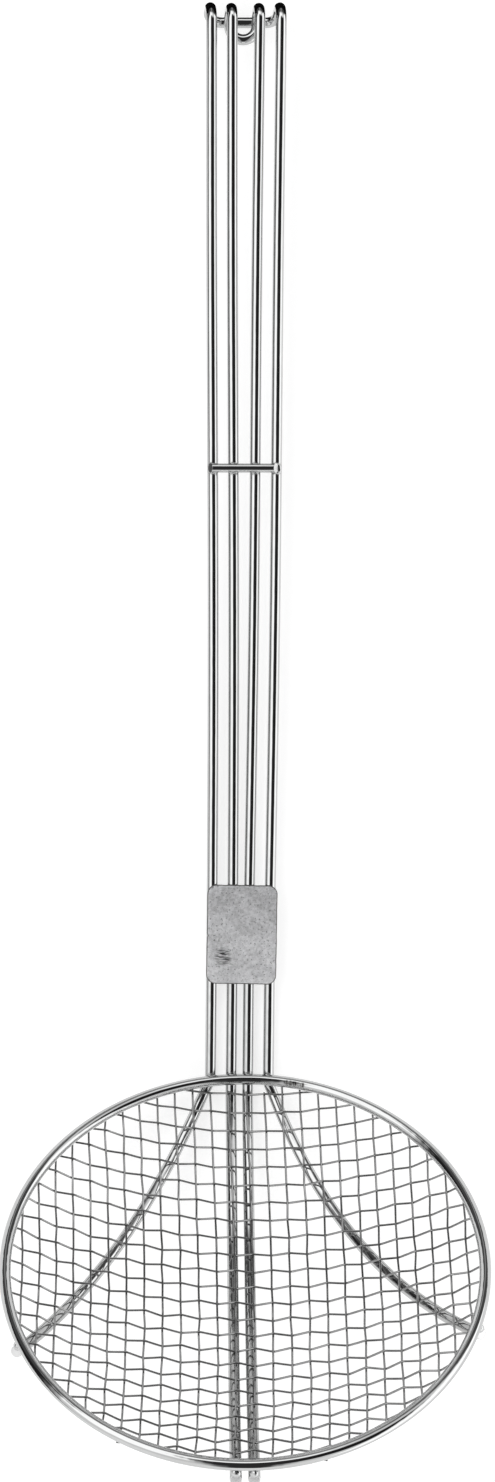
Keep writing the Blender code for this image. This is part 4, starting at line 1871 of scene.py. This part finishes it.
@dataclass(frozen=True)
class Studio:
    """A pale floor under one big white surround with light and dark cards in it.

    Attributes:
        above: The surround's level high over the floor, where 1 is white.
        below: Its level far under the floor.
        horizon: How high and how low the one fades into the other.
        floor_grey: The floor's colour, where light and shadow fall on it.
        floor_size: Its width.
        floor_lift: How much light is added to it for the camera and in mirrors.
        cards: The cards, each over those before it.
        flag_place: Where along the floor the black flag stands.
        flag_half_width: Half its width.
        flag_near: Where the part that lies down begins.
        flag_above_floor: How high that part lies.
        flag_high: How high the standing part goes.
        flag_black: The flag's colour.
    """

    above: float = 1.0
    below: float = 0.95
    horizon: float = 0.15
    floor_grey: str = "#BCBCBC"
    floor_size: float = 6.0
    floor_lift: float = 0.70
    cards: tuple[Card, ...] = (
        Card(right=0, hookward=-85, width=3.0, length=1.6, level=1.2, soft=0.6),
        Card(right=-23, hookward=27, width=1.3, length=1.35, level=1.8, soft=0.30),
        Card(right=19.5, hookward=8, width=1.34, length=0.95, level=0.02, soft=0.28, turn=-3),
        Card(right=1, hookward=-8, width=0.5, length=2.2, level=0.04, soft=0.3),
        Card(right=79, hookward=4, width=0.83, length=3.0, level=1.9, soft=0.33, turn=-6),
        Card(right=160, hookward=8, width=1.2, length=2.0, level=0.7, soft=0.3),
        Card(right=-130, hookward=25, width=2.4, length=1.5, level=0.12, soft=0.5),
        Card(right=-84, hookward=32, width=0.9, length=1.95, level=0.02, soft=0.3, turn=-26),
        Card(right=0, hookward=80, width=2.4, length=0.65, level=0.09, soft=0.3),
        Card(right=-37, hookward=113, width=1.15, length=1.1, level=0.09, soft=0.35),
        Card(right=0, hookward=80, width=0.24, length=0.7, level=0.42, soft=0.2),
    )
    flag_place: float = 0.330
    flag_half_width: float = 0.11
    flag_near: float = 0.271
    flag_above_floor: float = 0.0004
    flag_high: float = 0.023
    flag_black: str = "#141414"

    def light_world(self) -> None:
        """Lights the scene by the surround, and shows plain white to the camera."""
        world = bpy.data.worlds.new("studio_surround")
        bpy.context.scene.world = world
        world.use_nodes = True
        world.node_tree.nodes.clear()
        node = partial(add_node, world.node_tree)
        view = node("TexCoord", out="Generated")
        height = node("SeparateXYZ", view, out="Z")
        level = node("MapRange", height, -self.horizon, self.horizon, self.below, self.above, **SMOOTH)
        for card in self.cards:
            level = node("Mix", card.mask(node, view), in_2=level, in_3=card.level)
        camera = node("LightPath", out="Is Camera Ray")
        level = node("Mix", camera, in_2=level, in_3=1.0)
        node("OutputWorld", node("Background", Color="#FFFFFF", Strength=level))

    @staticmethod
    def add_prop(name: str, points: list[tuple], faces: list[tuple], material: Any) -> None:
        """A flat-faced piece of the studio, not attached to the skimmer.

        Args:
            name: The object's name.
            points: Its corners.
            faces: Its faces, by the numbers of their corners.
            material: Its material.
        """
        mesh = bpy.data.meshes.new(name)
        mesh.from_pydata(points, [], faces)
        mesh.materials.append(material)
        prop = bpy.data.objects.new(name, mesh)
        bpy.context.scene.collection.objects.link(prop)

    def add_floor(self) -> None:
        """A pale sheet under the skimmer, lifted to white for the camera and in mirrors."""
        material, node = empty_material("pale_paper_floor")
        paper = node("BsdfDiffuse", self.floor_grey)
        lifted = node("AddShader", paper, node("Emission", Color="#FFFFFF", Strength=self.floor_lift))
        seen = 0.0
        for ray in ("Is Camera Ray", "Is Glossy Ray", "Is Transmission Ray"):
            seen = node("Math", node("LightPath", out=ray), seen, operation="MAXIMUM")
        node("OutputMaterial", node("MixShader", seen, paper, lifted))
        half = self.floor_size / 2
        points = [(-half, -half, 0), (half, -half, 0), (half, half, 0), (-half, half, 0)]
        self.add_prop("studio_floor", points, [(0, 1, 2, 3)], material)

    def add_flag(self) -> None:
        """A low black flag beyond the hook, which only mirrored rays meet: the hook's bends show it."""
        material, node = empty_material("black_velvet_flag")
        mirrored = node("LightPath", out="Is Glossy Ray")
        velvet = node("BsdfDiffuse", self.flag_black)
        node("OutputMaterial", node("MixShader", mirrored, node("BsdfTransparent"), velvet))
        wide, low = self.flag_half_width, self.flag_above_floor
        rows = [(self.flag_near, low), (self.flag_place, low), (self.flag_place, self.flag_high)]
        points = [(x, y, z) for y, z in rows for x in (-wide, wide)]
        self.add_prop("studio_flag", points, [(0, 1, 3, 2), (2, 3, 5, 4)], material)

    def build(self) -> None:
        """The light, the floor, the flag and the plain view transform."""
        self.light_world()
        self.add_floor()
        self.add_flag()
        bpy.context.scene.view_settings.view_transform = "Standard"


def corners(box: Any) -> list[list[float]]:
    """A box as plain lists of numbers."""
    return [[float(value) for value in corner] for corner in box]


def main() -> None:
    """Builds the skimmer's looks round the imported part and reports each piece."""
    logging.basicConfig(level=logging.INFO, format="%(name)s: %(message)s")
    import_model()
    layout = Layout(Sizes())
    PhotoCamera().add(layout)
    hoop = RimHoop(layout, PlatedWire("chrome_on_hoop_wire"))
    crossbar = Crossbar(layout, PlatedWire("chrome_on_crossbar_wire", weld_reach=0.0028))
    plate = HandlePlate(layout, WornSheetSteel())
    handle = HandleWires(layout, PlatedWire("chrome_on_drawn_rod", haze=0.7))
    at_free_edge, at_handle = handle.welds_to_hoop(hoop.centre_line())
    hoop.welds = at_free_edge + at_handle
    handle.welds = at_free_edge + at_handle + crossbar.welds()
    bead_finish = PlatedWire("chrome_on_weld_metal", roughness=0.15, weld_reach=0.002)
    assemblies = [
        hoop,
        handle,
        crossbar,
        plate,
        WovenCloth(layout, PlatedWire("nickel_on_woven_wire", "#ACACAC", "#6A6A6A", roughness=0.03)),
        WeldBeads("welds_ribs_to_hoop", "rim_wire", at_free_edge, bead_finish),
        WeldBeads("welds_rods_to_hoop", "rim_wire", at_handle, bead_finish),
        WeldBeads("welds_bar_to_rods", "crossbar_wire", crossbar.welds(), bead_finish),
        WeldBeads("welds_plate_to_rods", "handle_wire", plate.welds(), bead_finish),
    ]
    for assembly in assemblies:
        for piece in assembly.build():
            points = np.array([corner[:] for corner in piece.bound_box])
            log.info(
                "%s: %d faces, up to y %.5f, down to z %.5f",
                piece.name, len(piece.data.polygons), points[:, 1].max(), points[:, 2].min(),
            )
    Studio().build()


if __name__ == "__main__":
    main()
